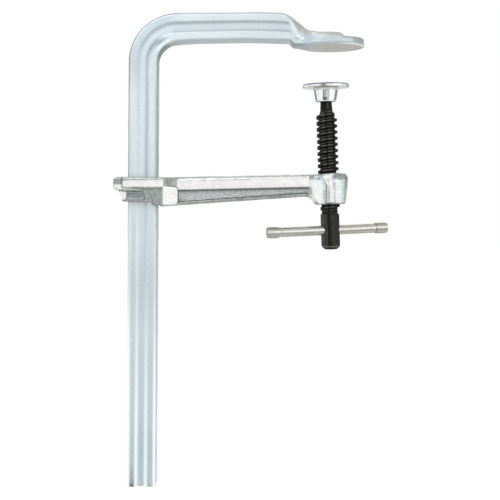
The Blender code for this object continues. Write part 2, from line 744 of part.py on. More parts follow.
def make_sliding_arm(material, frame, axis):
    rail_outer = -THROAT - RAIL_WIDTH
    head_end = rail_outer - HEAD_WRAP
    inner_end = -THROAT + HEAD_INNER_WALL
    column_end = inner_end + COLUMN_WIDTH
    beam = make_beam()
    arm = beam
    arm.name = "sliding_arm"
    arm.data.materials.append(material)
    arm.parent = frame
    band = rounded_outline(
        [
            (head_end, HEAD_BAND_FOOT, HEAD_LOBE_CORNER),
            (head_end, HEAD_TOP, HEAD_LOBE_CORNER),
            (inner_end, HEAD_TOP, 0),
            (inner_end, HEAD_BAND_FOOT, 0),
        ]
    )
    combine(arm, prism("band_form", band, HEAD_HALF_DEPTH, HEAD_BAND_BEVEL, parent=frame), "UNION")
    skirt = rounded_outline(
        [
            (rail_outer - SKIRT_WRAP, SKIRT_FOOT, SKIRT_CORNER),
            (rail_outer - SKIRT_WRAP, HEAD_TOP - HEAD_LOBE_CORNER, 0),
            (inner_end + COLUMN_WIDTH / 2, HEAD_TOP - HEAD_LOBE_CORNER, 0),
            (inner_end + COLUMN_WIDTH / 2, SKIRT_FOOT, 0),
        ]
    )
    combine(arm, prism("skirt_form", skirt, SKIRT_HALF_DEPTH, HEAD_BAND_BEVEL / 2, parent=frame), "UNION")
    cheek = cheek_outline(column_end)
    combine(arm, prism("cheek_form", cheek, CHEEK_HALF_DEPTH, HEAD_BAND_BEVEL / 2, parent=frame), "UNION")
    combine(arm, make_shoulder(inner_end, column_end, frame), "UNION")
    combine(arm, make_boss(axis), "UNION")
    combine(arm, make_trim(axis), "UNION")
    for side in (-1, 1):
        combine(arm, make_pocket(side, frame), "DIFFERENCE")
    combine(arm, make_rail_slot(frame), "DIFFERENCE")
    combine(arm, make_bore(axis), "DIFFERENCE")
    return arm


def cheek_outline(column_end):
    """The deep inner cheek, whose outer edge sweeps up in an arc to the band."""
    arc_centre_x = -THROAT - CHEEK_REACH_IN - CHEEK_ARC
    outline = []
    for step in range(2 * CORNER_STEPS + 1):
        angle = math.pi / 2 * (1 - step / (2 * CORNER_STEPS))
        x = arc_centre_x + CHEEK_ARC * math.cos(angle)
        z = CHEEK_FOOT + CHEEK_ARC * math.sin(angle)
        outline.append((x, z))
    top = HEAD_TOP / 2
    step_up = HEAD_BAND_FOOT + HEAD_BAND_BEVEL / 2
    step_x = column_end - COLUMN_WIDTH - 2 * HEAD_BAND_BEVEL
    corner = CHEEK_CORNER
    outline[-1] = (outline[-1][0], CHEEK_FOOT + corner)
    outline.append((outline[-1][0] + corner, CHEEK_FOOT))
    outline.append((column_end - corner, CHEEK_FOOT))
    outline.append((column_end, CHEEK_FOOT + corner))
    outline.append((column_end, step_up))
    outline.append((step_x, step_up))
    outline.append((step_x, top))
    outline.append((arc_centre_x, top))
    return outline


def make_shoulder(inner_end, column_end, frame):
    """The taper between the head's upper band and the beam's upper flange."""
    overlap = HEAD_BAND_BEVEL
    top = HEAD_TOP - overlap / 2
    foot = HEAD_BAND_FOOT - overlap
    places = ((inner_end - overlap, COLUMN_HALF_DEPTH), (column_end, FLANGE_HALF_DEPTH))
    rings = []
    for x, half_depth in places:
        corners = ((-half_depth, foot), (half_depth, foot), (half_depth, top), (-half_depth, top))
        rings.append([(x, y, z) for y, z in corners])
    return loft("shoulder_form", rings, parent=frame)


def make_pocket(side, frame):
    """The sunk panel in each side of the skirt."""
    left = -THROAT - RAIL_WIDTH - SKIRT_WRAP + POCKET_END_WALL
    low = SKIRT_FOOT + POCKET_LIP
    high = HEAD_BAND_FOOT - HEAD_BAND_BEVEL / 2
    inner = SKIRT_HALF_DEPTH - POCKET_DEPTH
    outer = HEAD_HALF_DEPTH + OVERRUN
    draft = POCKET_DEPTH / 2
    flare = draft * (outer - inner) / POCKET_DEPTH
    rings = []
    for depth, spread in ((inner, 0), (outer, flare)):
        corners = (
            (left - spread, low - spread),
            (left + POCKET_LENGTH + spread, low - spread),
            (left + POCKET_LENGTH - (high - low) / 2 + spread, high),
            (left - spread, high),
        )
        rings.append([(x, side * depth, z) for x, z in corners])
    name = "pocket_cutter_front" if side < 0 else "pocket_cutter_back"
    return loft(name, rings, parent=frame)


def make_rail_slot(frame):
    gap = RAIL_CLEARANCE
    outline = (
        (-THROAT - RAIL_WIDTH - gap, CHEEK_FOOT - OVERRUN),
        (-THROAT + gap, CHEEK_FOOT - OVERRUN),
        (-THROAT + gap, HEAD_TOP + OVERRUN),
        (-THROAT - RAIL_WIDTH - gap, HEAD_TOP + OVERRUN),
    )
    return prism("rail_slot_cutter", outline, RAIL_DEPTH / 2 + gap, parent=frame)


def make_bore(axis):
    """The tapped hole: the spindle's own thread, grown by the thread clearance."""
    root = THREAD_ROOT_RADIUS + THREAD_CLEARANCE
    crest = THREAD_CREST_RADIUS + THREAD_CLEARANCE
    half = BOSS_HEIGHT / 2
    spare_turns = 3
    skipped = math.floor((-half - thread_foot()) / THREAD_PITCH) - spare_turns
    foot = thread_foot() + THREAD_PITCH * skipped
    turns = math.ceil(BOSS_HEIGHT / THREAD_PITCH) + 2 * spare_turns
    bore = Turning(ROUND_SIDES, TOMMY_ANGLE)
    bore.ring(root, foot - OVERRUN)
    bore.thread(root, crest, foot, turns, THREAD_CLEARANCE, start=THREAD_START_STEPS)
    bore.ring(root, foot + THREAD_PITCH * (turns + 1) + OVERRUN)
    return bore.close("bore_cutter", parent=axis)


def main():
    clear_scene()
    zinc = make_material("pale_zinc", (0.72, 0.78, 0.81), 0.42, 0.85)
    forged = make_material("bright_zinc", (0.74, 0.76, 0.76), 0.32, 0.9)
    black = make_material("black_oxide", (0.035, 0.035, 0.033), 0.45, 0.6)
    spring = make_material("spring_steel", (0.30, 0.30, 0.31), 0.35, 1.0)
    chrome = make_material("plated_steel", (0.76, 0.79, 0.79), 0.24, 0.95)
    steel = make_material("bright_steel", (0.66, 0.65, 0.61), 0.34, 1.0)
    frame = bpy.data.objects.new("arm_frame", None)
    bpy.context.collection.objects.link(frame)
    frame.location = (0, 0, -BOSS_BELOW_FACE)
    axis = bpy.data.objects.new("spindle_axis", None)
    bpy.context.collection.objects.link(axis)
    axis.location = (0, 0, -BOSS_BELOW_FACE)
    axis.rotation_euler = (0, -TOE_IN, 0)
    make_fixed_bar(zinc)
    make_sliding_arm(forged, frame, axis)
    make_spindle(black, axis)
    make_snap_ring(spring, axis)
    make_pressure_plate(chrome, axis)
    make_tommy(steel, steel, axis)


main()
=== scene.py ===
"""Looks of the bar clamp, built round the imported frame.

Lengths are metres, except where a comment says millimetres."""

import functools
import math

import bmesh
import bpy
import numpy as np
from mathutils import Matrix, Vector


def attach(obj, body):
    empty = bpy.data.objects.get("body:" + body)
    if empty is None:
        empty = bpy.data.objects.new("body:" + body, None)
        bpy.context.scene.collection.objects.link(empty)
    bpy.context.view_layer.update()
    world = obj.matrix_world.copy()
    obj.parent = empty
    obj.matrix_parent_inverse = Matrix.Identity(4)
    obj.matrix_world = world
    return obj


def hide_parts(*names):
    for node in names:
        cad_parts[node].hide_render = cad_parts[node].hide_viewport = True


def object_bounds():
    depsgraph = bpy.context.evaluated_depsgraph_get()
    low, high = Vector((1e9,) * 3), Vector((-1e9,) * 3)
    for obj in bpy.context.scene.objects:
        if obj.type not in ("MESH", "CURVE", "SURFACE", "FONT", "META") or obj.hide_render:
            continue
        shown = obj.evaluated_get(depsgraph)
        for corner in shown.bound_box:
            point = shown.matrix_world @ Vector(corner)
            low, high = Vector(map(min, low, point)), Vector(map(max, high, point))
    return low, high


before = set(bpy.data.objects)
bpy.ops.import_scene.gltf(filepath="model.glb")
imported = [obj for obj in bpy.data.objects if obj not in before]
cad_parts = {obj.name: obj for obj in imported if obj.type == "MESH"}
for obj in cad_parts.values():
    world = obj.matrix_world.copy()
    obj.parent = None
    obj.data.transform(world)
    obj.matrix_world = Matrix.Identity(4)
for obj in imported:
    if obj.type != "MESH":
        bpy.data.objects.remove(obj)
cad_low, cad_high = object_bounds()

# The camera, fitted to the photograph
CAMERA_X = -0.0703
CAMERA_BACK = 0.458
CAMERA_Z = -0.1258
CAMERA_ROLL = -0.0057
CAMERA_FOCAL = 557 / 500
CAMERA_SENSOR = 36
CAMERA_SHIFT = (0.0133, -0.1)

# Sizes shared with the part's source
THROAT = 0.1405
RAIL_WIDTH = 0.0238
RAIL_DEPTH = 0.012
RAIL_BEVEL = 0.0021
GROOVE_MOUTH = 0.0098
GROOVE_FLOOR = 0.0048
GROOVE_DEPTH = 0.0014
RAIL_REACH = 0.3592
BEND_INNER_RADIUS = 0.016
ARM_RISE = math.radians(1.05)
ARM_ABOVE_FACE = 0.0045
ANVIL_WIDTH = 0.0318
ANVIL_WIDEST_AT = 0.001
ANVIL_TIP_AT = 0.0280
ANVIL_TIP_FULLNESS = 2.5
ANVIL_FLARE_BACK = 0.0345
ANVIL_THICKNESS = 0.0100
ANVIL_TOP_FALL = math.radians(2.4)
ANVIL_EDGE_BEVEL = 0.0008
FACE_HEEL_BACK = 0.0288
FACE_RAMP = 0.0052
SHOULDER_BACK = 0.0402
SHOULDER_FOOT_BACK = 0.0108
TIP_THICKNESS = 0.0063
TIP_STEP_AT = 0.0062
TIP_STEP_LENGTH = 0.0042
FLARE_START_SHARE = 0.35
ANVIL_SIDE_SHARES = (
    (1.0, 0.45),
    (0.985, 0.62),
    (0.95, 0.79),
    (0.88, 0.92),
    (0.71, 1.0),
    (0.36, 1.04),
)
BOSS_BELOW_FACE = 0.1164
TOE_IN = math.radians(2.2)
THREAD_PITCH = 0.0050
THREAD_CREST_RADIUS = 0.0085
THREAD_ROOT_RADIUS = 0.0065
THREAD_TURNS = 16
THREAD_START_STEPS = 4
THREAD_FADE_TURNS = 0.6
FLANK_SHARE = 0.17
CREST_SHARE = 0.38
NECK_FLARE_RADIUS = 0.0050
NECK_FLARE_LENGTH = 0.0050
NECK_RADIUS = 0.0047
HEX_ACROSS_FLATS = 0.0134
HEX_LENGTH = 0.0290
HEX_TOP = -0.0203
HEX_FOOT_CHAMFER = 0.0024
THREAD_FOOT = HEX_TOP + 0.0004
BALL_ABOVE_BOSS = 0.0776
BALL_RADIUS = 0.0052
BALL_FOOT_SHARE = 0.27
RING_GROOVE_RADIUS = 0.0041
RING_GROOVE_WIDTH = 0.0024
RING_WIRE_RADIUS = 0.0009
RING_FIT = 0.00025
PLATE_RADIUS = 0.0190
PLATE_THICKNESS = 0.0029
PLATE_OVER_SOCKET = 0.0028
PLATE_EDGE_BEVEL = 0.0007
PLATE_TILT_LIMIT = math.radians(6.2)
PLATE_LEAN = math.radians(1.2)
HUB_TOP_RADIUS = 0.0100
HUB_FOOT_RADIUS = 0.0082
HUB_LENGTH = 0.0115
HUB_FOOT_ROUND = 0.0012
HUB_LIP = 0.0013
HUB_SWELL = 0.0002
HUB_FLUTES = 6
FIRST_FLUTE_AT = math.radians(-96.4)
FLUTE_WIDTH = 0.0046
FLUTE_DEPTH = 0.0008
FLUTE_FOOT_WALL = 0.0012
FLUTE_TOP_WALL = 0.0024
SOCKET_CLEARANCE = 0.0003
TOMMY_ANGLE = math.radians(11.4)
TOMMY_BELOW_BOSS = 0.0337
TOMMY_LENGTH = 0.103
TOMMY_RADIUS = 0.00375
TOMMY_HOLE_CLEARANCE = 0.0003
TOMMY_REST_SHIFT = -0.0021
CAP_LENGTH = 0.0100
CAP_RADIUS = 0.0047
CAP_RIM_RADIUS = 0.0044
CAP_END_WALL = 0.0016
CAP_END_BEVEL = 0.0006
CAP_FIT = 0.0001
TOMMY_SWELL = 0.00025

OVERRUN = 0.002
THREAD_TOP = THREAD_FOOT + THREAD_PITCH * (THREAD_TURNS + 1)
THREAD_START = TOMMY_ANGLE + 2 * math.pi * THREAD_START_STEPS / 24

RIPPLE_WAVES = 14
WHITE = (1, 1, 1, 1)


# Small tools


def blend(start, end, share):
    return start + (end - start) * share


def smooth(share):
    share = np.clip(share, 0.0, 1.0)
    return share * share * (3.0 - 2.0 * share)


def above(value, edge, soft):
    """0 up to the edge, and 1 from a soft step beyond it."""
    return smooth((value - edge) / soft)


def below(value, edge, soft):
    return smooth((edge - value) / soft)


def between(value, low, high, soft, soft_high=None):
    return above(value, low, soft) * below(value, high, soft_high or soft)


def hump(value, middle, width):
    return np.exp(-(((value - middle) / width) ** 2))


def humps(value, *rows):
    """A sum of humps, each a row of its height, its middle and its width."""
    return sum(height * hump(value, middle, width) for height, middle, width in rows)


def tent(value, middle, reach):
    return smooth(1 - np.abs(value - middle) / reach)


def most(*masks):
    return functools.reduce(np.maximum, masks)


def linear(colour):
    """A colour written as it shows on screen, 0 to 255, as the shaders want it."""
    parts = [part / 255 for part in colour]
    return (*(p / 12.92 if p <= 0.04045 else ((p + 0.055) / 1.055) ** 2.4 for p in parts), 1.0)


def ripple(points, seed, scale):
    """Smooth noise between about -1 and 1 over an array of points, for shapes and masks."""
    draws = np.random.default_rng(seed)
    out = np.zeros(len(points))
    for _ in range(RIPPLE_WAVES):
        wave = draws.normal(size=3)
        wave *= 2 * math.pi / (scale * np.linalg.norm(wave) * draws.uniform(0.7, 1.5))
        out += np.sin(points @ wave + draws.uniform(0, 2 * math.pi))
    return out / math.sqrt(RIPPLE_WAVES)


def read(items, name, width, kind=float):
    out = np.empty(len(items) * width, dtype=kind)
    items.foreach_get(name, out)
    return out.reshape(-1, width)


def coordinates(mesh):
    return read(mesh.vertices, "co", 3)


def normals(mesh):
    return read(mesh.vertices, "normal", 3)


def edge_pairs(mesh):
    return read(mesh.edges, "vertices", 2, np.int64)


def place(mesh, points):
    mesh.vertices.foreach_set("co", points.ravel())
    mesh.update()


def mark(mesh, name, values):
    """A number from 0 to 1 for each vertex, which the materials read."""
    layer = mesh.attributes.new(name, "FLOAT", "POINT")
    layer.data.foreach_set("value", np.clip(values, 0, 1).astype(np.float32))


def mark_flow(mesh, *places):
    """A place along and round the piece for each vertex, so that a grain can follow its form."""
    layer = mesh.attributes.new("flow", "FLOAT_VECTOR", "POINT")
    layer.data.foreach_set("vector", np.stack(places, axis=1).astype(np.float32).ravel())


def spread(values, pairs, rounds):
    """Each value averaged with its neighbours', a number of times over."""
    first, second = pairs.T
    size = len(values)
    count = np.bincount(pairs.ravel(), minlength=size) + 1.0

    def averaged(column):
        total = column + np.bincount(first, column[second], size)
        return (total + np.bincount(second, column[first], size)) / count

    for _ in range(rounds):
        if values.ndim == 1:
            values = averaged(values)
        else:
            values = np.stack([averaged(column) for column in values.T], axis=1)
    return values


def hollows(mesh, rounds):
    """How far each vertex lies in a hollow, in metres. Corners that stand out are below zero."""
    points = coordinates(mesh)
    sunk = spread(points, edge_pairs(mesh), rounds) - points
    return np.einsum("ij,ij->i", sunk, normals(mesh))


def put(name, data):
    obj = bpy.data.objects.new(name, data)
    bpy.context.collection.objects.link(obj)
    return obj


def shown(mesh, node, material, body=None):
    """An object for a mesh that stands for a node and rides on its body."""
    obj = put(node + "_visual", mesh)
    mesh.materials.clear()
    mesh.materials.append(material)
    body = body or node
    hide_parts(node)
    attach(obj, body)


def skin(name, rings):
    """A mesh over rings of equally many points, closed by a fan at each end."""
    rows, sides = len(rings), len(rings[0])
    points = [point for ring in rings for point in ring]
    faces = []
    for row in range(rows - 1):
        for i in range(sides):
            j = (i + 1) % sides
            low, high = row * sides, (row + 1) * sides
            faces.append((low + i, low + j, high + j, high + i))
    for row, turned in ((0, True), (rows - 1, False)):
        points.append(np.mean(np.array(rings[row]), axis=0))
        hub = len(points) - 1
        for i in range(sides):
            a, b = row * sides + i, row * sides + (i + 1) % sides
            faces.append((hub, b, a) if turned else (hub, a, b))
    mesh = bpy.data.meshes.new(name)
    mesh.from_pydata([tuple(map(float, point)) for point in points], [], faces)
    mesh.update()
    bm = bmesh.new()
    bm.from_mesh(mesh)
    bmesh.ops.recalc_face_normals(bm, faces=bm.faces)
    bm.to_mesh(mesh)
    bm.free()
    mesh.shade_smooth()
    return mesh


def turn_steps(sides):
    return 2 * math.pi * np.arange(sides) / sides


def level_ring(x, y, height):
    return np.stack([x, y, np.full_like(x, height)], axis=1)


def turned_rings(profile, sides):
    """Rings about Z from (radius, height) points. A radius may differ from step to step."""
    turn = turn_steps(sides)
    return [level_ring(radius * np.cos(turn), radius * np.sin(turn), z) for radius, z in profile]


def lift(height):
    return Matrix.Translation((0, 0, height))


def arc(centre, radius, start, end, steps):
    """(radius, height) points of a round edge, in degrees from outward."""
    turns = [math.radians(blend(start, end, step / steps)) for step in range(steps + 1)]
    return [(centre[0] + radius * math.cos(t), centre[1] + radius * math.sin(t)) for t in turns]


def straight(first, last, count):
    """Points along a straight line from the first to the last."""
    ends = list(zip(first, last))
    return [tuple(blend(a, b, share) for a, b in ends) for share in np.linspace(0, 1, count)]


def applied(obj):
    """The object's mesh with its modifiers. The object itself goes."""
    view = bpy.context.evaluated_depsgraph_get()
    mesh = bpy.data.meshes.new_from_object(obj.evaluated_get(view))
    bpy.data.objects.remove(obj, do_unlink=True)
    mesh.shade_smooth()
    return mesh


def remeshed(mesh, voxel):
    obj = put(mesh.name, mesh)
    modifier = obj.modifiers.new("remesh", "REMESH")
    modifier.mode = "VOXEL"
    modifier.voxel_size = voxel
    return applied(obj)


# Materials


def give(tree, socket, value):
    """A fixed value for a socket, or another node's output joined to it."""
    if isinstance(value, bpy.types.NodeSocket):
        tree.links.new(value, socket)
    else:
        socket.default_value = value


def add_node(tree, kind, inputs, output=0, **settings):
    """One output of a new node, with its settings made and its inputs given."""
    node = tree.nodes.new(kind)
    for name, value in settings.items():
        setattr(node, name, value)
    for key, value in inputs.items():
        give(tree, node.inputs[key], value)
    return node.outputs[output]


class Look:
    """One material's nodes, with short calls for the kinds that are used here."""

    def __init__(self, name, metallic):
        self.material = bpy.data.materials.new(name)
        self.material.use_nodes = True
        self.tree = self.material.node_tree
        self.shader = self.tree.nodes["Principled BSDF"]
        self.shade(metallic=metallic)

    def shade(self, **inputs):
        """Gives the shader's inputs, base_color for Base Color, and returns the material."""
        for name, value in inputs.items():
            give(self.tree, self.shader.inputs[name.replace("_", " ").title()], value)
        return self.material

    def add(self, *what, **settings):
        return add_node(self.tree, *what, **settings)

    def mask(self, name, output="Fac"):
        return self.add("ShaderNodeAttribute", {}, output, attribute_name=name)

    def noise(self, scale, detail=3, rough=0.55, drawn=None):
        """Noise over the piece's own space or, with drawn as its stretch, along its flow."""
        if drawn:
            spot = self.mask("flow", "Vector")
        else:
            spot = self.add("ShaderNodeTexCoord", {}, "Object")
        spot = self.add("ShaderNodeMapping", {"Vector": spot, "Scale": (drawn or 1, 1, 1)})
        inputs = {"Vector": spot, "Scale": scale, "Detail": detail, "Roughness": rough}
        return self.add("ShaderNodeTexNoise", inputs, "Fac")

    def bend(self, source, low, high, start=0.0, end=1.0):
        """A value taken from one range to another, and held at its ends."""
        ends = {"From Min": low, "From Max": high, "To Min": start, "To Max": end}
        return self.add("ShaderNodeMapRange", {"Value": source, **ends}, "Result")

    def times(self, first, second):
        return self.add("ShaderNodeMath", {0: first, 1: second}, operation="MULTIPLY")

    def mix(self, share, first, second):
        """From the first colour to the second, each a node's output or as it shows on screen."""
        inputs = {0: share}
        for socket, colour in ((6, first), (7, second)):
            inputs[socket] = linear(colour) if isinstance(colour, tuple) else colour
        return self.add("ShaderNodeMix", inputs, 2, data_type="RGBA")

    def by(self, source, low, high, first, second, end=1.0):
        """From the first colour towards the second as a value rises from low to high."""
        return self.mix(self.bend(source, low, high, 0.0, end), first, second)

    def painted(self, body, **coats):
        """The body with a colour laid on by each named mask, one over the other."""
        for name, colour in coats.items():
            body = self.mix(self.mask(name), body, colour)
        return body

    def relief(self, source, height, before=None):
        inputs = {"Strength": 1.0, "Distance": height, "Height": source}
        if before:
            inputs["Normal"] = before
        return self.add("ShaderNodeBump", inputs)


def zinc_look():
    """Satin blue-white plating over a drawn and forged bar, with painted shade and painted dark
    reflections, and painted highlights along its edges that are partly wear.
    """
    look = Look("pale_zinc_drawn", 0.5)
    streaks = look.noise(420, drawn=0.02)
    speckle = look.noise(900, 2, 0.7)
    body = look.mix(look.mask("tone"), (165, 185, 192), (234, 242, 245))
    body = look.by(look.noise(60), 0.35, 0.65, body, (202, 219, 226), 0.25)
    body = look.by(streaks, 0.3, 0.72, body, (190, 206, 213), 0.25)
    body = look.by(speckle, 0.5, 0.75, body, (240, 246, 248), 0.3)
    body = look.by(speckle, 0.5, 0.3, body, (178, 192, 198), 0.25)
    # Coats: painted shade in the groove, on the narrow faces, the outer edges, the end's top and
    # the anvil's downward face; painted highlights, partly wear, along edges; darker at the rail's
    # foot and the tip
    body = look.painted(
        body,
        deep=(150, 165, 174),
        murk=(96, 106, 98),
        narrow=(160, 173, 173),
        rim=(112, 121, 124),
        slope=look.by(look.noise(300), 0.35, 0.65, (166, 168, 166), (187, 189, 187)),
        tip=(160, 168, 166),
        worn=(246, 255, 255),
        face=look.by(look.noise(90), 0.3, 0.7, (174, 174, 174), (192, 187, 182)),
    )
    bumps = look.relief(look.noise(260, 4), 0.00012)
    return look.shade(
        base_color=body,
        metallic=look.bend(look.mask("worn"), 0, 1, 0.5, 1),
        roughness=look.bend(look.noise(200), 0.3, 0.7, 0.34, 0.5),
        normal=look.relief(streaks, 0.00004, bumps),
    )


def forged_look():
    """Bright plating over a drop forging: rubbed bright where proud, grainy where sunk, with
    painted shade, painted dark reflections along its edges and a painted sky reflection on the
    boss.
    """
    look = Look("bright_zinc_forged", 0.5)
    speckle = look.noise(1000, 2, 0.7)
    body = look.by(look.noise(150), 0.35, 0.65, (242, 243, 242), (255, 255, 254))
    body = look.by(look.noise(800, 2), 0.5, 0.75, body, (206, 211, 208), 0.35)
    body = look.painted(
        body,
        sky=look.by(look.noise(170, 2), 0.35, 0.6, (214, 232, 238), (240, 249, 252)),
        grain=look.by(speckle, 0.38, 0.62, (116, 122, 124), (204, 208, 208)),
        dull=look.by(look.noise(500), 0.35, 0.65, (140, 147, 140), (176, 182, 176)),
        pit=look.by(speckle, 0.4, 0.6, (84, 92, 96), (150, 156, 158)),
        line=(92, 99, 100),
    )
    rough = look.times(speckle, look.bend(look.mask("grain"), 0, 1, 0.15, 1))
    return look.shade(
        base_color=body,
        metallic=look.bend(look.mask("shine"), 0, 1, 0.5, 1),
        roughness=look.bend(look.noise(300), 0.3, 0.7, 0.24, 0.42),
        normal=look.relief(rough, 0.0002, look.relief(look.noise(160), 0.0002)),
    )


def black_look():
    """Oiled black oxide over a rolled thread and a milled hexagon, with painted highlights, a
    painted sheen and painted shade.
    """
    look = Look("black_oxide_oiled", 0.0)
    look.shader.inputs["Specular IOR Level"].default_value = 0.15
    body = look.by(look.noise(350), 0.35, 0.65, (8, 8, 7), (22, 22, 20))
    return look.shade(
        base_color=look.painted(body, rub=(126, 126, 116), sheen=(70, 71, 64), deep=(10, 10, 8)),
        roughness=look.bend(look.noise(500), 0.3, 0.7, 0.4, 0.6),
        normal=look.relief(look.noise(700), 0.0001),
    )


def spring_look():
    look = Look("spring_steel_wire", 0.9)
    drawn = look.noise(900, 2)
    return look.shade(
        base_color=look.by(drawn, 0.3, 0.7, (110, 110, 112), (156, 156, 158)),
        roughness=look.bend(drawn, 0.3, 0.7, 0.28, 0.42),
    )


def plated_look():
    """Bright plating on a pressed and turned plate, with painted shade and painted dark reflections
    on the hub and the rim.
    """
    look = Look("plated_steel_bright", 0.95)
    body = look.by(look.noise(260), 0.35, 0.65, (240, 244, 245), (254, 255, 255))
    body = look.painted(
        body,
        face=look.by(look.noise(1400, 2, 0.6), 0.4, 0.62, (196, 202, 203), (228, 233, 233)),
        shade=(96, 106, 108),
        warm=(152, 152, 138),
        line=(70, 78, 82),
    )
    return look.shade(
        base_color=body,
        roughness=look.bend(look.noise(400), 0.3, 0.7, 0.14, 0.26),
        normal=look.relief(look.noise(420), 0.00006),
    )


def bright_look(name, light, dark):
    """Drawn bright steel, with marks that run round or along it, painted dark reflections along its
    top and bottom and a painted highlight along its middle.
    """
    look = Look(name, 0.8)
    lines = look.noise(700, drawn=0.04)
    body = look.by(lines, 0.3, 0.7, dark, light)
    body = look.by(look.noise(300), 0.55, 0.8, body, (140, 139, 128), 0.35)
    body = look.mix(look.times(look.mask("core"), 0.85), body, (250, 250, 247))
    return look.shade(
        base_color=look.painted(body, edge=(118, 117, 104)),
        roughness=look.bend(lines, 0.3, 0.7, 0.26, 0.42),
        normal=look.relief(lines, 0.00003),
    )


# Fixed bar


def arm_underside(x):
    return ARM_ABOVE_FACE + x * math.tan(ARM_RISE)


def arm_topside(x):
    return arm_underside(x) + RAIL_WIDTH / math.cos(ARM_RISE)


def anvil_half_width(x):
    if x > ANVIL_WIDEST_AT:
        share = (x - ANVIL_WIDEST_AT) / (ANVIL_TIP_AT - ANVIL_WIDEST_AT)
        return ANVIL_WIDTH / 2 * math.sqrt(max(1 - share**ANVIL_TIP_FULLNESS, 0))
    run = ANVIL_WIDEST_AT + ANVIL_FLARE_BACK
    share = min(max((x + ANVIL_FLARE_BACK) / run, 0), 1)
    return blend(RAIL_DEPTH / 2, ANVIL_WIDTH / 2, math.sin(share * math.pi / 2))


def anvil_underside(x):
    return arm_underside(x) * (1 - above(x, -FACE_HEEL_BACK - FACE_RAMP, FACE_RAMP))


def anvil_thickness(x):
    step = above(x, TIP_STEP_AT, TIP_STEP_LENGTH)
    fallen = (x + SHOULDER_FOOT_BACK) * math.tan(ANVIL_TOP_FALL)
    return blend(ANVIL_THICKNESS - fallen, TIP_THICKNESS, step)


# How many steps each stretch of the half section takes, from the inner face to the outer, and
# whether the five on the side start and end on the land, 0, or on the groove's floor, 1
SECTION_STEPS = (3, 6, 8, 6, 6, 6, 8, 8, 4)
SIDE_STRETCHES = ((0, 0), (0, 1), (1, 1), (1, 0), (0, 0))

# The end of the arm, in millimetres: along X, how far the chamfer reaches down and in, and small
# trims of the outline that the photograph shows
CHAMFER_RISE = ((-40, 2.1), (-35.8, 2.6), (-31.8, 5.2), (-27.6, 9), (-23.8, 12.8), (-20, 11.2))
CHAMFER_DEPTH = ((-40, 2.1), (-35, 3.4), (-29, 5.3))
TOP_TRIM = (
    *((-60, 0), (-49.2, -0.4), (-41.8, -0.7), (-39.3, -1), (-36.9, -0.8), (-34.4, -0.1)),
    *((-31.9, 0.5), (-29.5, 1.1), (-27, 1), (-24.5, 0.5), (-19.6, -0.3), (-16, 0)),
)
FOOT_TRIM = ((-127, 0), (-112, 0.8), (-68, 1.1), (-50, 0.4), (-38, 0))
TRIM_EASE = 1.6
GROOVE_FOOT_END = -0.0228
GROOVE_TOP_END = -0.0315
GROOVE_SLANT_RUNOUT = 0.0042
LEAST_FLAT = 0.0005
TIP_TOP_ROUND = 0.0036
ANVIL_TIP_BEVEL = 0.0019
TIP_FOOT_ROUND = 0.0008
TIP_ROUNDNESS = 0.62
CHAMFER_FLATNESS = 0.6
BAR_WAVE = 0.00006
ANVIL_WAVE = 0.00004
RAIL_FOOT_ROUND = 0.0003
RAIL_ROWS = 88
BEND_ROWS = 34
ARM_ROWS = 28
ANVIL_ROWS = 56
TIP_ROWS = 29


def eased(x, table):
    """A value read from a table in millimetres, (place, value), with its corners rounded."""
    spots = 1000 * x + TRIM_EASE * np.linspace(-1, 1, 7)
    return float(np.mean(np.interp(spots, *zip(*table)))) / 1000


def groove_end(up):
    """Where along X the groove ends, from its foot at 0 to its top at 1."""
    return blend(GROOVE_FOOT_END, GROOVE_TOP_END, np.clip(up, 0, 1))


def steps_of(stretch):
    """Shares of the way along a stretch of the half section, without its start."""
    return np.linspace(0, 1, SECTION_STEPS[stretch] + 1)[1:]


def inner_half(half, bevel, low=0.0):
    """(depth, distance) points across the inner face and round its rounded edge."""
    out = [(0.0, low)] + [((half - bevel) * share, low) for share in steps_of(0)]
    for turn in math.pi / 2 * steps_of(1):
        out.append((half - bevel * (1 - math.sin(turn)), low + bevel * (1 - math.cos(turn))))
    return out


def arm_half(x=None, scale=1.0):
    """(depth, distance) points of the bar's section, +Y half."""
    half = RAIL_DEPTH / 2
    middle = RAIL_WIDTH / 2
    rise, depth, flat = RAIL_BEVEL, RAIL_BEVEL, 0.0
    if x is not None:
        rise, depth = eased(x, CHAMFER_RISE) / scale, eased(x, CHAMFER_DEPTH)
        flat = CHAMFER_FLATNESS * above(depth, RAIL_BEVEL, 0.002)
    far = RAIL_WIDTH - rise
    mouth_top = min(middle + GROOVE_MOUTH / 2, far - LEAST_FLAT)
    floor_top = min(middle + GROOVE_FLOOR / 2, mouth_top - LEAST_FLAT)
    mouth_foot = middle - GROOVE_MOUTH / 2
    knots = (RAIL_BEVEL, mouth_foot, middle - GROOVE_FLOOR / 2, floor_top, mouth_top, far)
    out = inner_half(half, RAIL_BEVEL)
    for index, ends in enumerate(SIDE_STRETCHES):
        for share in steps_of(index + 2):
            distance = blend(knots[index], knots[index + 1], share)
            deep = blend(*ends, smooth(share)) * GROOVE_DEPTH
            if x is not None:
                end = groove_end((distance - mouth_foot) / GROOVE_MOUTH)
                deep *= 1 - above(x, end - GROOVE_SLANT_RUNOUT, GROOVE_SLANT_RUNOUT)
            out.append((half - deep, distance))
    for share in steps_of(7):
        turn = math.pi / 2 * share
        inward = blend(1 - math.cos(turn), share, flat)
        out.append((half - depth * inward, far + rise * blend(math.sin(turn), share, flat)))
    return out + [((half - depth) * (1 - share), RAIL_WIDTH) for share in steps_of(8)]


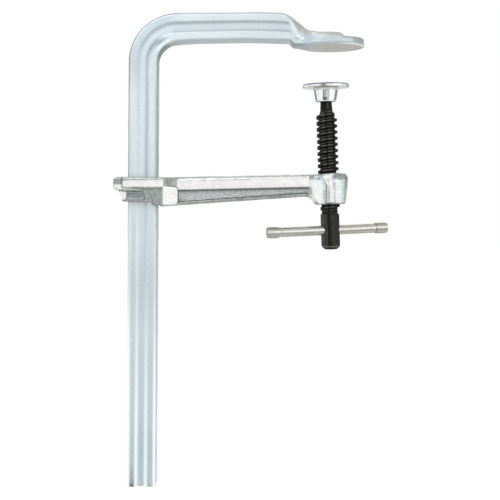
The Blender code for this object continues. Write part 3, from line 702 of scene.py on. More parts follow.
def anvil_half(x, half_width, low, top):
    """Points of the anvil's section that pair with the rail section's points."""
    bevel = blend(ANVIL_EDGE_BEVEL, ANVIL_TIP_BEVEL, above(x, -0.006, 0.022))
    bevel = min(bevel, half_width / 2)
    knots = [(half_width, low + bevel)]
    knots += [(half_width * across, blend(low, top, up)) for across, up in ANVIL_SIDE_SHARES]
    knots.append((0.0, top))
    # The curve runs on past its ends: it starts level and crosses the middle
    knots = [knots[0], *knots, (-knots[-2][0], knots[-2][1])]
    out = inner_half(half_width, bevel, low)
    for index in range(len(SECTION_STEPS) - 2):
        four = knots[index : index + 4]
        out += [tuple(catmull(*four, share)) for share in steps_of(index + 2)]
    return out


def catmull(before, first, second, after, share):
    """A point on the smooth curve through four points, between the middle two."""
    b, f, s, a = (np.array(point, dtype=float) for point in (before, first, second, after))
    curve = 2 * f + (s - b) * share + (2 * b - 5 * f + 4 * s - a) * share**2
    return 0.5 * (curve + (3 * f - b - 3 * s + a) * share**3)


def mirrored(half):
    """A closed ring from a half ring that starts and ends on the middle."""
    return half + [(-depth, distance) for depth, distance in reversed(half[1:-1])]


def tip_rounding(x, reach):
    into = min(max((x - ANVIL_TIP_AT + reach) / reach, 0), 0.999)
    return reach * TIP_ROUNDNESS * (1 - math.sqrt(1 - into * into))


def anvil_ring(x):
    shoulder = above(x, -SHOULDER_BACK, SHOULDER_BACK - SHOULDER_FOOT_BACK)
    low = anvil_underside(x) + eased(x, FOOT_TRIM) + tip_rounding(x, TIP_FOOT_ROUND)
    top = blend(arm_topside(x), anvil_thickness(x), shoulder) + eased(x, TOP_TRIM)
    top -= tip_rounding(x, TIP_TOP_ROUND)
    scale = (top - low) / RAIL_WIDTH
    arm = [(y, low + distance * scale) for y, distance in arm_half(x, scale)]
    anvil = anvil_half(x, anvil_half_width(x), low, top)
    flare = above(shoulder, FLARE_START_SHARE, 1 - FLARE_START_SHARE)
    half = [(blend(ay, by, flare), blend(az, bz, flare)) for (ay, az), (by, bz) in zip(arm, anvil)]
    return [(x, y, z) for y, z in mirrored(half)]


def bar_rings(section):
    """Rings from the rail's foot, up and round the bend, to the anvil's tip, and how far along."""
    bend_x = -THROAT + BEND_INNER_RADIUS
    bend_z = arm_underside(bend_x) - BEND_INNER_RADIUS / math.cos(ARM_RISE)
    middle = RAIL_WIDTH / 2
    rings, along = [], []
    for inset, rise in ((1, 0), (0.3, 0.3), (0, 1)):
        inset, rise = inset * RAIL_FOOT_ROUND, rise * RAIL_FOOT_ROUND
        narrow, thin = 1 - inset / middle, 1 - inset / (RAIL_DEPTH / 2)
        x, z = -THROAT - middle, -RAIL_REACH + rise
        rings.append([(x - (d - middle) * narrow, y * thin, z) for y, d in section])
        along.append(rise)
    rail = bend_z + RAIL_REACH
    for step in range(1, RAIL_ROWS):
        height = blend(RAIL_FOOT_ROUND, rail, step / RAIL_ROWS)
        rings.append([(-THROAT - d, y, -RAIL_REACH + height) for y, d in section])
        along.append(height)
    for step in range(BEND_ROWS + 1):
        angle = blend(math.pi, math.pi / 2 + ARM_RISE, step / BEND_ROWS)
        cos, sin = math.cos(angle), math.sin(angle)
        radii = [(y, BEND_INNER_RADIUS + distance) for y, distance in section]
        rings.append([(bend_x + r * cos, y, bend_z + r * sin) for y, r in radii])
        along.append(rail + (BEND_INNER_RADIUS + middle) * (math.pi - angle))
    arm_along = along[-1] - bend_x
    places = list(np.linspace(bend_x + 0.003, -SHOULDER_BACK, ARM_ROWS))
    places += list(np.linspace(-SHOULDER_BACK, ANVIL_WIDEST_AT, ANVIL_ROWS))[1:]
    for step in range(1, TIP_ROWS):
        share = math.sin(math.pi / 2 * step / (TIP_ROWS - 0.4))
        places.append(blend(ANVIL_WIDEST_AT, ANVIL_TIP_AT, share))
    rings += [anvil_ring(x) for x in places]
    along += [arm_along + x for x in places]
    return rings, along


def make_fixed_bar(material):
    section = mirrored(arm_half())
    rings, along = bar_rings(section)
    mesh = skin("fixed_bar_skin", rings)
    points = coordinates(mesh)
    # For each vertex: how far along the bar it lies, and how far out from the inner face. The
    # last two are the middles of the ends.
    run, gap = np.zeros((2, len(points)))
    run[:-2] = np.repeat(along, len(section))
    run[-1] = along[-1]
    gap[:-2] = np.tile([distance for _, distance in section], len(rings))
    wave = ripple(points, 3, 0.022) * BAR_WAVE
    x, z = points[:, 0], points[:, 2]
    wave += above(x, -0.020, 0.008) * ripple(points, 4, 0.007) * ANVIL_WAVE
    wave[(x > -FACE_HEEL_BACK) & (z < 0.0002)] *= 0.2
    place(mesh, points + normals(mesh) * wave[:, None])
    mark_bar(mesh, run, gap)
    shown(mesh, "fixed_bar", material)


def mark_bar(mesh, run, gap):
    points = coordinates(mesh)
    facing = normals(mesh)
    x, y, z = points.T
    across = np.where(x > -THROAT + BEND_INNER_RADIUS, z, x + z)
    mark_flow(mesh, run, np.where(z < -0.02, x, across), y)
    turned = np.abs(facing[:, 1])
    outer = gap >= RAIL_WIDTH - RAIL_BEVEL + 0.00001
    turn = bend_angle(x, z)
    inset = 1000 * (np.array([anvil_half_width(place) for place in x]) - np.abs(y))
    x, z, gap = 1000 * x, 1000 * z, 1000 * gap
    groove = 1000 * groove_end((gap - 7.0) / 9.8)
    slant = 1000 * GROOVE_SLANT_RUNOUT
    # From here on in millimetres. Zones along the bar, each from 0 to 1:
    arm = above(x, -134, 16) * (z > -30)
    bend = above(z, -45, 30) * (1 - arm)
    rail = (1 - arm) * (1 - bend)
    down = below(z, -70, 220)
    upper = rail * (1 - down)
    foot = below(z, -240, 100)
    slope = above(x, -38, 4)
    anvil = above(x, -26, 8)
    bar = arm * (1 - above(x, -34, 4))
    down_face = below(facing[:, 2], -0.55, 0.2) * above(x, -26.2, 3)
    under = down_face * above(inset, np.where(y < 0, 2.1, 0.2), 0.7)
    # Lightness of the flats, darker down the rail, round the bend and towards the anvil
    tone = 0.84 - 0.30 * below(z, -100, 120) - 0.26 * foot
    tone += 0.05 * ripple(points, 6, 0.05) - 0.42 * above(x, -34, 10)
    tone -= bend * (0.12 + 0.34 * hump(gap, 19, 5)) + 0.07 * bar
    mark(mesh, "tone", tone)
    # Painted shade along the groove's sides, round the bend, on the anvil's underside and on two
    # lamp-lit spots at the anvil's root
    deep = upper * humps(gap, (0.55, 9.3, 1), (0.3, 15.6, 0.8), (0.3, 7.4, 1.1))
    deep += upper * 0.75 * below(gap, 2.6, 2)
    deep += bend * humps(gap, (0.4, 9.4, 1.2), (0.25, 15.6, 0.9))
    deep += bar * humps(gap, (0.42, 15.8, 1.1), (0.4, 8.9, 1.3))
    streak = between(turn, -25, 66, 25, 20) * hump(gap, 7.7, 1.9)
    deep += streak * (0.3 + 0.6 * hump(turn, 34, 20))
    deep += 0.8 * hump(gap, 5.2, 1.9) * hump(turn, 50, 14)
    deep += rail * foot * 0.1 * hump(gap, 11.6, 2.0)
    faded = 1 - smooth((x + 21) / 16 + 0.15 * ripple(points, 9, 0.01))
    deep += 0.75 * under * faded
    deep += 0.5 * hump(x, -15, 3) * between(gap, 3, 15, 3) * (x > -30)
    corner = hump(x, -27.2, 1.9) * hump(z, 6, 1.5)
    deep += 0.6 * corner * above(turned, 0.2, 0.2)
    deep += bar * 0.2 * between(gap, 6.5, 17, 1.5)
    mark(mesh, "deep", deep)
    # Painted highlights, partly wear of the edges: along the lands' and the groove's edges, on the
    # inner bevel round the bend, on the slant at the groove's end, on a spot at the arm's end and
    # along the anvil's near lower edge
    worn = humps(gap, (1.3, 1.2, 1.1), (1.2, 8.2, 1.35), (1, 15.9, 1.3), (1.8, 22.5, 1.3))
    worn *= rail * (0.3 + 0.7 * below(z, -170, 160)) * below(z, -100, 60)
    worn += 0.1 * upper * hump(gap, 4.5, 2)
    streak = hump(gap, 2.3, 0.9) * between(turn, 20, 80, 16, 18)
    worn += (0.7 + 0.2 * ripple(points, 8, 0.003)) * streak
    streak = hump((x - groove) / slant, -0.38, 0.36) * between(gap, 7.2, 17.2, 1.2, 0.8) * (x > -45)
    worn += streak * (0.3 + 0.6 * above(gap, 8.6, 2.4))
    corner = hump(x, -23.1, 1.1) * hump(z, 5.2, 1)
    worn += 0.9 * corner * above(turned, 0.3, 0.2)
    worn += 0.9 * above(x, 1, 12) * hump(inset, 1.9, 0.8) * (y < 0) * down_face
    mark(mesh, "worn", worn * (1 - under))
    # Painted shade on faces turned from the side, painted dark reflections on the thin outer edges
    # and the bend's inner edge, painted shade, warm grey, on the anvil's downward face, painted
    # shade on the end's grey top, and the tip darker still
    narrow = below(turned, 0.66, 0.5) * (1 - 0.75 * rail * (gap > 12)) * (1 - slope)
    narrow = most(
        narrow * (1 - 0.4 * arm),
        below(turned, 0.95, 0.35) * outer * (1 - down) * (1 - 0.3 * arm),
        0.5 * bar * below(gap, 2.2, 1.2),
        (1 - anvil) * above(x, -35.5, 4) * below(gap, 2.6, 1.5),
    )
    mark(mesh, "narrow", narrow)
    rim = above(gap, 21.9, 1.1) * (0.75 * bend + 0.55 * bar + 0.45 * upper)
    mark(mesh, "rim", most(rim, 0.8 * bend * below(gap, 1.2, 0.9) * below(turn, 75, 30)))
    mark(mesh, "face", under * (1 - 0.85 * faded))
    mark(mesh, "slope", most(outer * slope, 0.85 * anvil * above(gap, 7, 3)) * (1 - under))
    tip = above(x, 13.5, 6) * above(z, 0.3, 1)
    mark(mesh, "tip", tip * (1 - under))
    murk = 0.45 * below(z, -335, 22) + 0.6 * below(z, -354.5, 3)
    murk *= between(gap, 17.2, 22.0, 0.4, 0.5)
    murk += 0.5 * hump(gap, 21.6, 0.5) * below(z, -325, 20)
    murk += 0.25 * hump(gap, 4, 2.2) * below(z, -356, 2)
    mark(mesh, "murk", murk)


def bend_angle(x, z):
    """Degrees round the bend, 0 at the rail's side and 90 at the arm's, and far off elsewhere."""
    centre_x = -THROAT + BEND_INNER_RADIUS
    centre_z = arm_underside(centre_x) - BEND_INNER_RADIUS
    turn = np.degrees(np.arctan2(z - centre_z, centre_x - x))
    return turn + 360 * (x > -0.1) + 360 * (z < -0.06)


# Sliding arm

# Places in the arm's side view in millimetres, with Z from the boss
HEAD_BAND_EDGE = -0.3
COLUMN_TOP = 0.9
LOBE_END = -167.4
BEAM_START = -123.2
BEAM_END = -16
BEAM_TOP_FALL = math.tan(math.radians(1.6))
BEAM_FOOT_FALL = math.tan(math.radians(4.25))
BAND_HALF_DEPTH = 11.1
STRIP_HEIGHT = 0.7
STRIP_PATH = (
    *((-169.4, -1.8), (-160, -1.8), (-154.5, -2.2), (-151.2, -3.4)),
    *((-149.3, -5.2), (-147.6, -6.8), (-146.6, -8.4), (-145.9, -10)),
    (-145.5, -12.6),
)
STRIP_HALF_WIDTHS = ((0, 1.4), (0.3, 1.5), (0.5, 2.3), (1, 2))

# Lengths in metres again
ARM_VOXEL = 0.00046
ARM_WAVE = 0.00007
COLUMN_ENDS = (-0.1340, -0.1232)
COLUMN_HALF_DEPTH = 0.0112
COLUMN_HEIGHTS = (-0.0040, COLUMN_TOP / 1000)
BOSS_LEFT = 0.0182
BOSS_RIGHT = 0.0153
BOSS_DEPTH = 0.0134
BOSS_SQUARENESS = 3.4
BOSS_STATIONS = (
    *((-0.0124, 0.780), (-0.0114, 0.830), (-0.0060, 0.885), (0.0000, 0.940)),
    *((0.0060, 0.985), (0.0084, 1.0), (0.0106, 0.945), (0.0122, 0.865)),
)


def column_form():
    """Fills the head's column out to its full width, beside the beam's start."""
    half, (low, high) = COLUMN_HALF_DEPTH, COLUMN_HEIGHTS
    ring = ((-half, low), (half, low), (half, high), (-half, high))
    form = skin("column_form", [[(x, y, z) for y, z in ring] for x in COLUMN_ENDS])
    form.transform(lift(-BOSS_BELOW_FACE))
    return form


def boss_form():
    """Squares off the boss's round wall a little, as the forging dies leave it."""
    turn = turn_steps(64)
    waves = (np.cos(turn), np.sin(turn))
    cos, sin = [np.sign(wave) * np.abs(wave) ** (2 / BOSS_SQUARENESS) for wave in waves]
    reach = np.where(cos > 0, BOSS_RIGHT, BOSS_LEFT)
    rings = [level_ring(reach * s * cos, BOSS_DEPTH * s * sin, z) for z, s in BOSS_STATIONS]
    form = skin("boss_form", rings)
    form.transform(spindle_matrix())
    return form


def path_gap(x, z, path):
    """The distance of each (x, z) from a broken line, and how far along it is, from 0 to 1."""
    best = np.full(len(x), np.inf)
    along = np.zeros(len(x))
    pieces = len(path) - 1
    for index in range(pieces):
        (ax, az), (bx, bz) = path[index : index + 2]
        length = (bx - ax) ** 2 + (bz - az) ** 2
        share = np.clip(((x - ax) * (bx - ax) + (z - az) * (bz - az)) / length, 0, 1)
        gap = np.hypot(x - blend(ax, bx, share), z - blend(az, bz, share))
        along = np.where(gap < best, (index + share) / pieces, along)
        best = np.minimum(gap, best)
    return best, along


def strip_mask(x, z):
    """The raised arc below the head's band: 1 on it and 0 off it, and the gap to its edge."""
    gap, along = path_gap(x, z, STRIP_PATH)
    beyond = gap - np.interp(along, *zip(*STRIP_HALF_WIDTHS))
    return below(beyond, 0, 0.6), beyond


def make_sliding_arm(material):
    joined = bmesh.new()
    joined.from_mesh(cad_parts["sliding_arm"].data)
    for form in (column_form(), boss_form()):
        joined.from_mesh(form)
        bpy.data.meshes.remove(form)
    mesh = bpy.data.meshes.new("sliding_arm_skin")
    joined.to_mesh(mesh)
    joined.free()
    mesh = remeshed(mesh, ARM_VOXEL)
    place(mesh, forge_arm(spread(coordinates(mesh), edge_pairs(mesh), 2)))
    points = coordinates(mesh)
    place(mesh, points + normals(mesh) * (ripple(points, 11, 0.014) * ARM_WAVE)[:, None])
    mark_arm(mesh)
    shown(mesh, "sliding_arm", material)


def in_spindle_frame(points):
    """How far right of, in from and above the boss's middle each point lies, in millimetres."""
    lay = np.array(spindle_matrix().inverted())
    return (points @ lay[:3, :3].T + lay[:3, 3]).T * 1000


def in_side_view(points):
    """X, Y and Z of each point in millimetres, with Z from the boss."""
    return (points + (0, 0, BOSS_BELOW_FACE)).T * 1000


def forge_arm(points):
    """The head's finer steps: a drawn-in lobe, a shorter band and a raised arc below it."""
    right, inward, up = in_spindle_frame(points)
    x, y, z = in_side_view(points)
    depth = np.abs(y)
    outer = above(depth, 9.4, 1.2)
    lobe = below(x, LOBE_END, 0.9) * above(depth, 6, 3)
    depth = depth * (1 - 0.1 * lobe)
    sunk = between(z, -4, HEAD_BAND_EDGE + 0.4, 0.6)
    sunk *= between(x, -169, -134.6, 0.6, 0.5)
    depth = blend(depth, np.minimum(depth, BAND_HALF_DEPTH), sunk * outer)
    depth = depth + STRIP_HEIGHT * strip_mask(x, z)[0] * outer
    slant = below(x, -163, 3) * below(z, -1.6, 1)
    slant *= np.clip((z + 11.3) / 9, 0, 1)
    seam = hump(right, 4.6, 2.2) * above(np.abs(inward), 9, 1) * (right > -2)
    corner = below(up, -6, 6.4) * below(right, -10, 4) * (right > -18.5)
    x = x + 2.7 * corner - 2 * seam - 2.6 * slant
    return np.stack([x / 1000, np.sign(y) * depth / 1000, points[:, 2]], axis=1)


def mark_arm(mesh):
    points = coordinates(mesh)
    right, inward, up = in_spindle_frame(points)
    x, y, z = in_side_view(points)
    points[:, 2] += BOSS_BELOW_FACE
    sideways = np.abs(y)
    turned = np.abs(normals(mesh)[:, 1])
    front = above(turned, 0.5, 0.3)
    rough = ripple(points, 21, 0.0030)
    rougher = ripple(points, 22, 0.0012)

    def box(x_low, x_high, z_low, z_high, soft=0.8):
        return between(x, x_low, x_high, soft) * between(z, z_low, z_high, soft)

    # The beam, whose edges fall a little towards the rail
    back = -x - 25
    top = 11.8 - back * BEAM_TOP_FALL
    foot = -6.8 - back * BEAM_FOOT_FALL
    flange = top - 10.7
    on_beam = between(x, BEAM_START, BEAM_END, 0.8, 2)
    web = on_beam * between(z, foot + 2.4, flange, 0.6, 0.8)
    foot_flange = on_beam * below(z, foot + 2.6, 0.6)
    crown = most(
        on_beam * above(z, top - 2.9, 1.8),
        (1 - on_beam) * above(z, top - 2.6, 0.8),
    )
    crown *= (x < BEAM_END) * (0.85 + 0.15 * rough)
    parting = on_beam * hump(z, top - 3.2 + 0.2 * rough, 0.4)
    parting *= 0.45 + 0.55 * below(x, -45, 30)
    # The head and its column
    head = below(x, BEAM_START, 0.8)
    pocket = box(-166.2, -151.2, -9.6, -3.1) * (sideways < 9.8) * front
    lip = most(
        box(-170, -140, -12.5, -9.4, 0.5),
        box(-152.5, -143, -12.5, -3, 0.6),
    )
    end_wall = box(-173, -164.8, -10, -3, 0.6)
    strip, strip_edge = strip_mask(x, z)
    strip = strip * (z < HEAD_BAND_EDGE) * front
    cheek = box(-164, -134.8, -16, HEAD_BAND_EDGE + 0.2, 0.5)
    cheek *= above(sideways, 9.8, 0.6)
    patch = box(-135, -123.6, COLUMN_TOP - 0.2, 9, 0.6)
    smudge = patch * hump(x, -130.6, 2.6)
    lobe = below(x, LOBE_END + 0.4, 0.8) * (z > -3)
    column = box(-135, -122.6, -15, COLUMN_TOP + 0.4, 0.6) * front
    under_band = box(-170, -134, -1.4, 0.4, 0.4)
    # The boss, in the spindle's own frame, and the trimmed band down its middle
    on_boss = above(right, -17.6, 1.2)
    bevel_band = above(up, np.where(right > 0, 6.4, 7.4) - 0.6 * rough, 1.2)
    beside = right + 1.7
    wander = 0.6 * np.sin(up * 0.42 + 1.0) * np.sign(right)
    trim_gap = np.abs(beside) - 4.3 - 0.4 * rough - wander
    outside = on_boss * (np.abs(inward) > 9)
    trim = outside * below(trim_gap, 0, 0.6)
    trim_line = outside * hump(trim_gap, 0, np.where(beside < 0, 1.1, 0.5))
    trim_line *= np.where(beside < 0, 0.6, 1.0)
    bevel_band *= on_boss * (1 - trim)
    right_edge = 0.35 * above(right, 7.2, 1) + 0.4 * above(right, 9.2, 1.4)
    left_side = on_boss * below(right, -5, 3)
    nook = on_boss * below(right, -15, 1) * between(up, -11, -2, 1)
    mark(mesh, "grain", web * (0.75 + 0.25 * rougher) + 0.6 * patch)
    # Mostly painted shade: on faces turned from the side, the foot flange, the cheek, the nook, the
    # crown, the boss's bevel and right edge, the lip and the lobe; the rough patch by the column is
    # duller of itself
    dull = most(
        below(turned, 0.90, 0.42) * (1 - 0.85 * left_side * (np.abs(up) < 10)),
        0.94 * foot_flange,
        0.95 * cheek,
        0.8 * nook,
        0.7 * patch,
    )
    dull = most(
        blend(dull, 0.7, strip),
        0.8 * crown,
        0.85 * bevel_band,
        0.95 * right_edge,
        0.9 * lip,
        0.8 * lobe * above(z, 1.8, 1.6),
    )
    mark(mesh, "dull", dull * (1 - 0.55 * column) * (1 - 0.9 * end_wall))
    # Mostly painted shade, speckled like pitted scale: in the pocket, on the lobe, the cheek, the
    # boss's bevel, the trimmed band and the crown, a painted shadow at the boss's foot, and darker
    # in the rough patch's middle
    pits = 0.88 * pocket * (1 - end_wall)
    pits += 0.75 * lobe * above(z, 2.2, 1.4) * smooth(0.65 + 0.6 * rougher)
    pits = most(
        pits,
        0.5 * smudge,
        0.22 * cheek * (1 - strip),
        np.where(right > 0, 0.6, 0.4) * bevel_band,
        trim * below(beside, 0.6, 1) * (0.3 + 0.12 * rougher),
        0.42 * crown,
        0.6 * on_boss * hump(right, -2, 2.6) * below(up, -9.8, 1.2),
    )
    mark(mesh, "pit", pits * (1 - 0.95 * strip))
    # Dark lines: where the form turns sharply, and those that the photograph shows
    # Most dark lines are painted shade and painted dark reflections, along sharp turns of the form,
    # under the flange, along the web's foot and at the band's, boss's and lobe's edges; the parting
    # line, the broken line and the scratch are marks of the forging
    sharp = np.abs(spread(hollows(mesh, 3), edge_pairs(mesh), 1))
    low, high = np.percentile(sharp, (86, 97))
    line = 0.8 * above(sharp, low, high - low) * (0.7 + 0.3 * rough)
    line *= (1 - 0.95 * on_boss) * (1 - 0.85 * end_wall)
    line *= 1 - 0.8 * between(x, -125, -120.5, 0.8) * below(z, 0, 1)
    line = most(
        line,
        0.75 * parting,
        0.7 * on_boss * hump(right, 12.2, 0.5) * above(up, -2, 4),
        0.85 * trim_line * smooth(0.5 + 0.9 * rougher),
    )
    # A broken line and a faint scratch in the trimmed band
    leaning = 0.4 + 1.6 * (10.5 - up) / 10.7
    broken = hump(right, leaning, 0.6) * between(up, -0.6, 11.2, 1)
    broken *= 0.85 * smooth(0.6 + rougher)
    scratch = 0.35 * hump(right, -2.3, 0.6) * between(up, -10.5, 0, 1)
    line = most(line, trim * (broken + scratch)) * (1 - 0.9 * strip) * (1 - 0.7 * under_band)
    band_edge = head * hump(z, HEAD_BAND_EDGE, 0.4) * (sideways > 10.5) * (x < -135)
    flange_edge = humps(z - flange, (0.5, -0.2, 0.8), (0.35, -1.6, 0.9))
    line = most(
        line,
        0.45 * hump(strip_edge, 0.4, 0.5) * (cheek > 0.3) * (x > -152),
        0.7 * on_boss * hump(up, -12.6, 0.9),
        on_beam * flange_edge,
        0.7 * on_beam * hump(z, foot + 3.1, 0.9),
        np.where(x < -147, 0.12, 0.4) * band_edge,
        0.7 * hump(x, LOBE_END, 0.5) * (sideways > 10),
    )
    mark(mesh, "line", np.minimum(line, 0.9))
    # Painted sky reflection, blue-white, on the boss's front wall, less on its left and lower down
    wall = on_boss * (1 - trim) * front
    sky = wall * (1 - 0.7 * left_side * below(up, 7, 2))
    sky *= 1 - np.where(right > 0, 0.3, 0.6) * below(up, 4, 6)
    mark(mesh, "sky", sky)
    shine = wall * below(up, 7.5, 2) * np.where(right > 1, 0.3, 1.0)
    mark(mesh, "shine", shine + 0.6 * column + 0.8 * end_wall)
    mark_flow(mesh, *points.T)


# Spindle

SPINDLE_SIDES = 96
THREAD_STEP = 0.00022
NECK_RUN_IN = 0.0062
HEX_SWELL = 1.01
HEX_SHOULDER = 0.0005
HEX_SHOULDER_DRAW = 0.0010
SPINDLE_SHARP = math.radians(40)


def spindle_matrix():
    return lift(-BOSS_BELOW_FACE) @ Matrix.Rotation(-TOE_IN, 4, "Y")


def tommy_matrix():
    turn = Matrix.Rotation(TOMMY_ANGLE, 4, "Z") @ Matrix.Rotation(math.pi / 2, 4, "Y")
    return spindle_matrix() @ lift(-TOMMY_BELOW_BOSS) @ turn


def thread_share(turn, height):
    """How far out towards the crest the thread stands, from 0 to 1, at an angle and height."""
    turns_round = ((turn - THREAD_START) / (2 * math.pi)) % 1.0
    rise = (height - THREAD_FOOT) / THREAD_PITCH - turns_round
    number = np.floor(rise)
    within = np.abs(rise - number - 0.5) * THREAD_PITCH
    done = number + turns_round
    fade = smooth(np.minimum(done, THREAD_TURNS - done) / THREAD_FADE_TURNS)
    flank = FLANK_SHARE * THREAD_PITCH
    return below(within, CREST_SHARE * THREAD_PITCH / 2 + flank, flank) * fade


def hexagon_profile(turn):
    """(radii, height) of the milled head, from its chamfered foot to the thread's start."""
    apothem = HEX_ACROSS_FLATS / 2
    corner = apothem / math.cos(math.pi / 6)
    foot = HEX_TOP - HEX_LENGTH
    chamfered = foot + HEX_FOOT_CHAMFER
    shoulder = HEX_TOP - HEX_SHOULDER
    from_corner = (turn - TOMMY_ANGLE + math.pi / 6) % (math.pi / 3)
    reach = apothem / np.cos(from_corner - math.pi / 6)
    stations = straight((corner - HEX_FOOT_CHAMFER * 1.05, foot), (corner, chamfered), 9)
    stations += straight((corner * HEX_SWELL, chamfered), (corner * HEX_SWELL, shoulder), 40)[1:]
    stations += straight((corner, shoulder), (corner - HEX_SHOULDER_DRAW, HEX_TOP), 4)[1:]
    rounds = [(np.minimum(reach, radius), height) for radius, height in stations]
    return [(corner * 0.30, foot), *rounds, (THREAD_ROOT_RADIUS + 0.0001, HEX_TOP + 0.00012)]


def thread_profile(turn):
    steps = int((THREAD_TOP - THREAD_FOOT) / THREAD_STEP)
    crest = THREAD_CREST_RADIUS - THREAD_ROOT_RADIUS
    profile = []
    for height in np.linspace(THREAD_FOOT, THREAD_TOP, steps):
        into_neck = above(height, THREAD_TOP - NECK_RUN_IN, NECK_RUN_IN)
        root = blend(THREAD_ROOT_RADIUS, NECK_FLARE_RADIUS, into_neck)
        profile.append((root + crest * thread_share(turn, height), height))
    return profile


def neck_profile():
    """(radius, height) points of the neck, the ring's groove and the ball."""
    profile = []
    for share in np.linspace(0, 1, 8)[1:]:
        radius = blend(NECK_FLARE_RADIUS, NECK_RADIUS, smooth(share) * 0.3 + share * 0.7)
        profile.append((radius, THREAD_TOP + share * NECK_FLARE_LENGTH))
    groove_top = BALL_ABOVE_BOSS - BALL_FOOT_SHARE * BALL_RADIUS
    groove_foot = groove_top - RING_GROOVE_WIDTH
    profile += [(NECK_RADIUS, groove_foot), (RING_GROOVE_RADIUS, groove_foot)]
    profile.append((RING_GROOVE_RADIUS, groove_top))
    start = -math.degrees(math.asin(BALL_FOOT_SHARE))
    return profile + arc((0, BALL_ABOVE_BOSS), BALL_RADIUS, start, 84, 14)


def cross_drilled(mesh):
    """The mesh with the tommy bar's hole cut through it."""
    reach = HEX_ACROSS_FLATS / 2 + OVERRUN
    radius = TOMMY_RADIUS + TOMMY_SWELL + TOMMY_HOLE_CLEARANCE
    drill = skin("tommy_hole_drill", turned_rings(((radius, -reach), (radius, reach)), 48))
    cutter = put(drill.name, drill)
    cutter.matrix_world = spindle_matrix().inverted() @ tommy_matrix()
    obj = put(mesh.name, mesh)
    cut = obj.modifiers.new("hole", "BOOLEAN")
    cut.operation = "DIFFERENCE"
    cut.solver = "EXACT"
    cut.object = cutter
    bpy.context.view_layer.update()
    mesh = applied(obj)
    bpy.data.objects.remove(cutter, do_unlink=True)
    return mesh


def make_spindle(material):
    turn = turn_steps(SPINDLE_SIDES)
    profile = hexagon_profile(turn) + thread_profile(turn) + neck_profile()
    mesh = cross_drilled(skin("spindle_skin", turned_rings(profile, SPINDLE_SIDES)))
    mesh.set_sharp_from_angle(angle=SPINDLE_SHARP)
    mark_spindle(mesh)
    mesh.transform(spindle_matrix())
    mesh.update()
    shown(mesh, "spindle", material)


def facing_angle(angle, middle):
    """1 where a round wall faces an angle in degrees, falling to 0 beside it."""
    return above(np.cos(angle - math.radians(middle)), 0.72, 0.22)


def mark_spindle(mesh):
    points = coordinates(mesh)
    x, y, height = points.T
    radius, angle = np.hypot(x, y), np.arctan2(y, x)
    across = x * np.sign(-y)
    threaded = above(height, THREAD_FOOT, 0.001) * below(height, THREAD_TOP, 0.001)
    necked = above(height, THREAD_TOP, 0.001)
    hexed = below(height, HEX_TOP + 0.0002, 0.0004)
    hex_foot = HEX_TOP - HEX_LENGTH
    streak = ripple(points, 31, 0.004)
    lit = most(facing_angle(angle, -112), 0.6 * facing_angle(angle, 62))
    crest = threaded * above(radius, 0.0081, 0.0003)
    # Painted highlights: the crests and the roots catch the light in two spots each; painted shade
    # makes the flanks black
    turns_round = (angle - THREAD_START) / (2 * math.pi)
    rise = ((height - THREAD_FOOT) / THREAD_PITCH - turns_round) % 1.0
    from_root = np.minimum(rise, 1 - rise)
    spots = between(across, -0.0062, -0.0019, 0.0012, 0.0007)
    spots += between(across, -0.0013, 0.0038, 0.0007, 0.0016)
    glint = hump(rise, 0.52, 0.13) + 0.9 * hump(from_root, 0, 0.11)
    glint *= threaded * spots * (0.75 + 0.35 * ripple(points, 32, 0.0018))
    flank = threaded * below(np.abs(from_root - 0.25), 0.25, 0.12)
    neck_streak = necked * hump(across, 0.0006, 0.0010)
    chamfer = hexed * tent(height, hex_foot + HEX_FOOT_CHAMFER, 0.0008)
    # Painted highlights: on the lit side of the crests, the glints, a streak down the neck and a
    # line along the hexagon's chamfer
    rub = 0.10 * crest * lit * (1 + streak) + 0.85 * glint + 0.6 * neck_streak + chamfer
    mark(mesh, "rub", rub)
    # Painted sheen in bands across the hexagon's flats
    light = 0.75 * between(across, -0.0069, -0.0027, 0.001, 0.0008)
    light += humps(across, (0.3, -0.0038, 0.0009), (0.35, 0.0016, 0.0012))
    light += 0.4 * above(across, -0.0012, 0.0006)
    mark(mesh, "sheen", hexed * light * (0.75 + 0.15 * streak) * (1 - chamfer))
    # Painted shade: a dark line on the hexagon, the neck, below the hexagon's chamfer and on the
    # thread's flanks
    deep = 0.6 * hexed * hump(across, -0.0021, 0.0006) + necked * (1 - 0.7 * neck_streak)
    deep += 0.8 * below(height, hex_foot + 0.0018, 0.001) + 0.95 * flank * (1 - 0.6 * glint)
    mark(mesh, "deep", deep)


# Pressure plate

PLATE_SIDES = 192
PLATE_SOCKET = BALL_RADIUS + SOCKET_CLEARANCE
PLATE_FACE = PLATE_SOCKET + PLATE_OVER_SOCKET
PLATE_UNDERSIDE = PLATE_FACE - PLATE_THICKNESS
HUB_FOOT = PLATE_UNDERSIDE - HUB_LENGTH
HUB_FOOT_REACH = HUB_FOOT_RADIUS + HUB_SWELL
HUB_TOP_REACH = HUB_TOP_RADIUS + HUB_SWELL
HUB_MOUTH = NECK_RADIUS - HUB_FOOT * math.sin(PLATE_TILT_LIMIT) + SOCKET_CLEARANCE
HALF_FLUTE = FLUTE_WIDTH / 2
TURNED_SHARP = math.radians(50)

# How dark the painted shade in a flute is, from its left edge, -1, to its right edge, 1
FLUTE_PLACES = (-1, -0.65, -0.3, 0, 0.35, 0.75, 1)
FLUTE_SHADES = (0.85, 0.6, 0.62, 0.46, 0.28, 0.5, 0.38)


def plate_matrix():
    """The plate leans a little and rests against its tilt stop."""
    rest = math.acos(math.cos(PLATE_TILT_LIMIT) / math.cos(PLATE_LEAN))
    turn = Matrix.Rotation(PLATE_LEAN, 4, "Y") @ Matrix.Rotation(rest, 4, "X")
    return spindle_matrix() @ lift(BALL_ABOVE_BOSS) @ turn


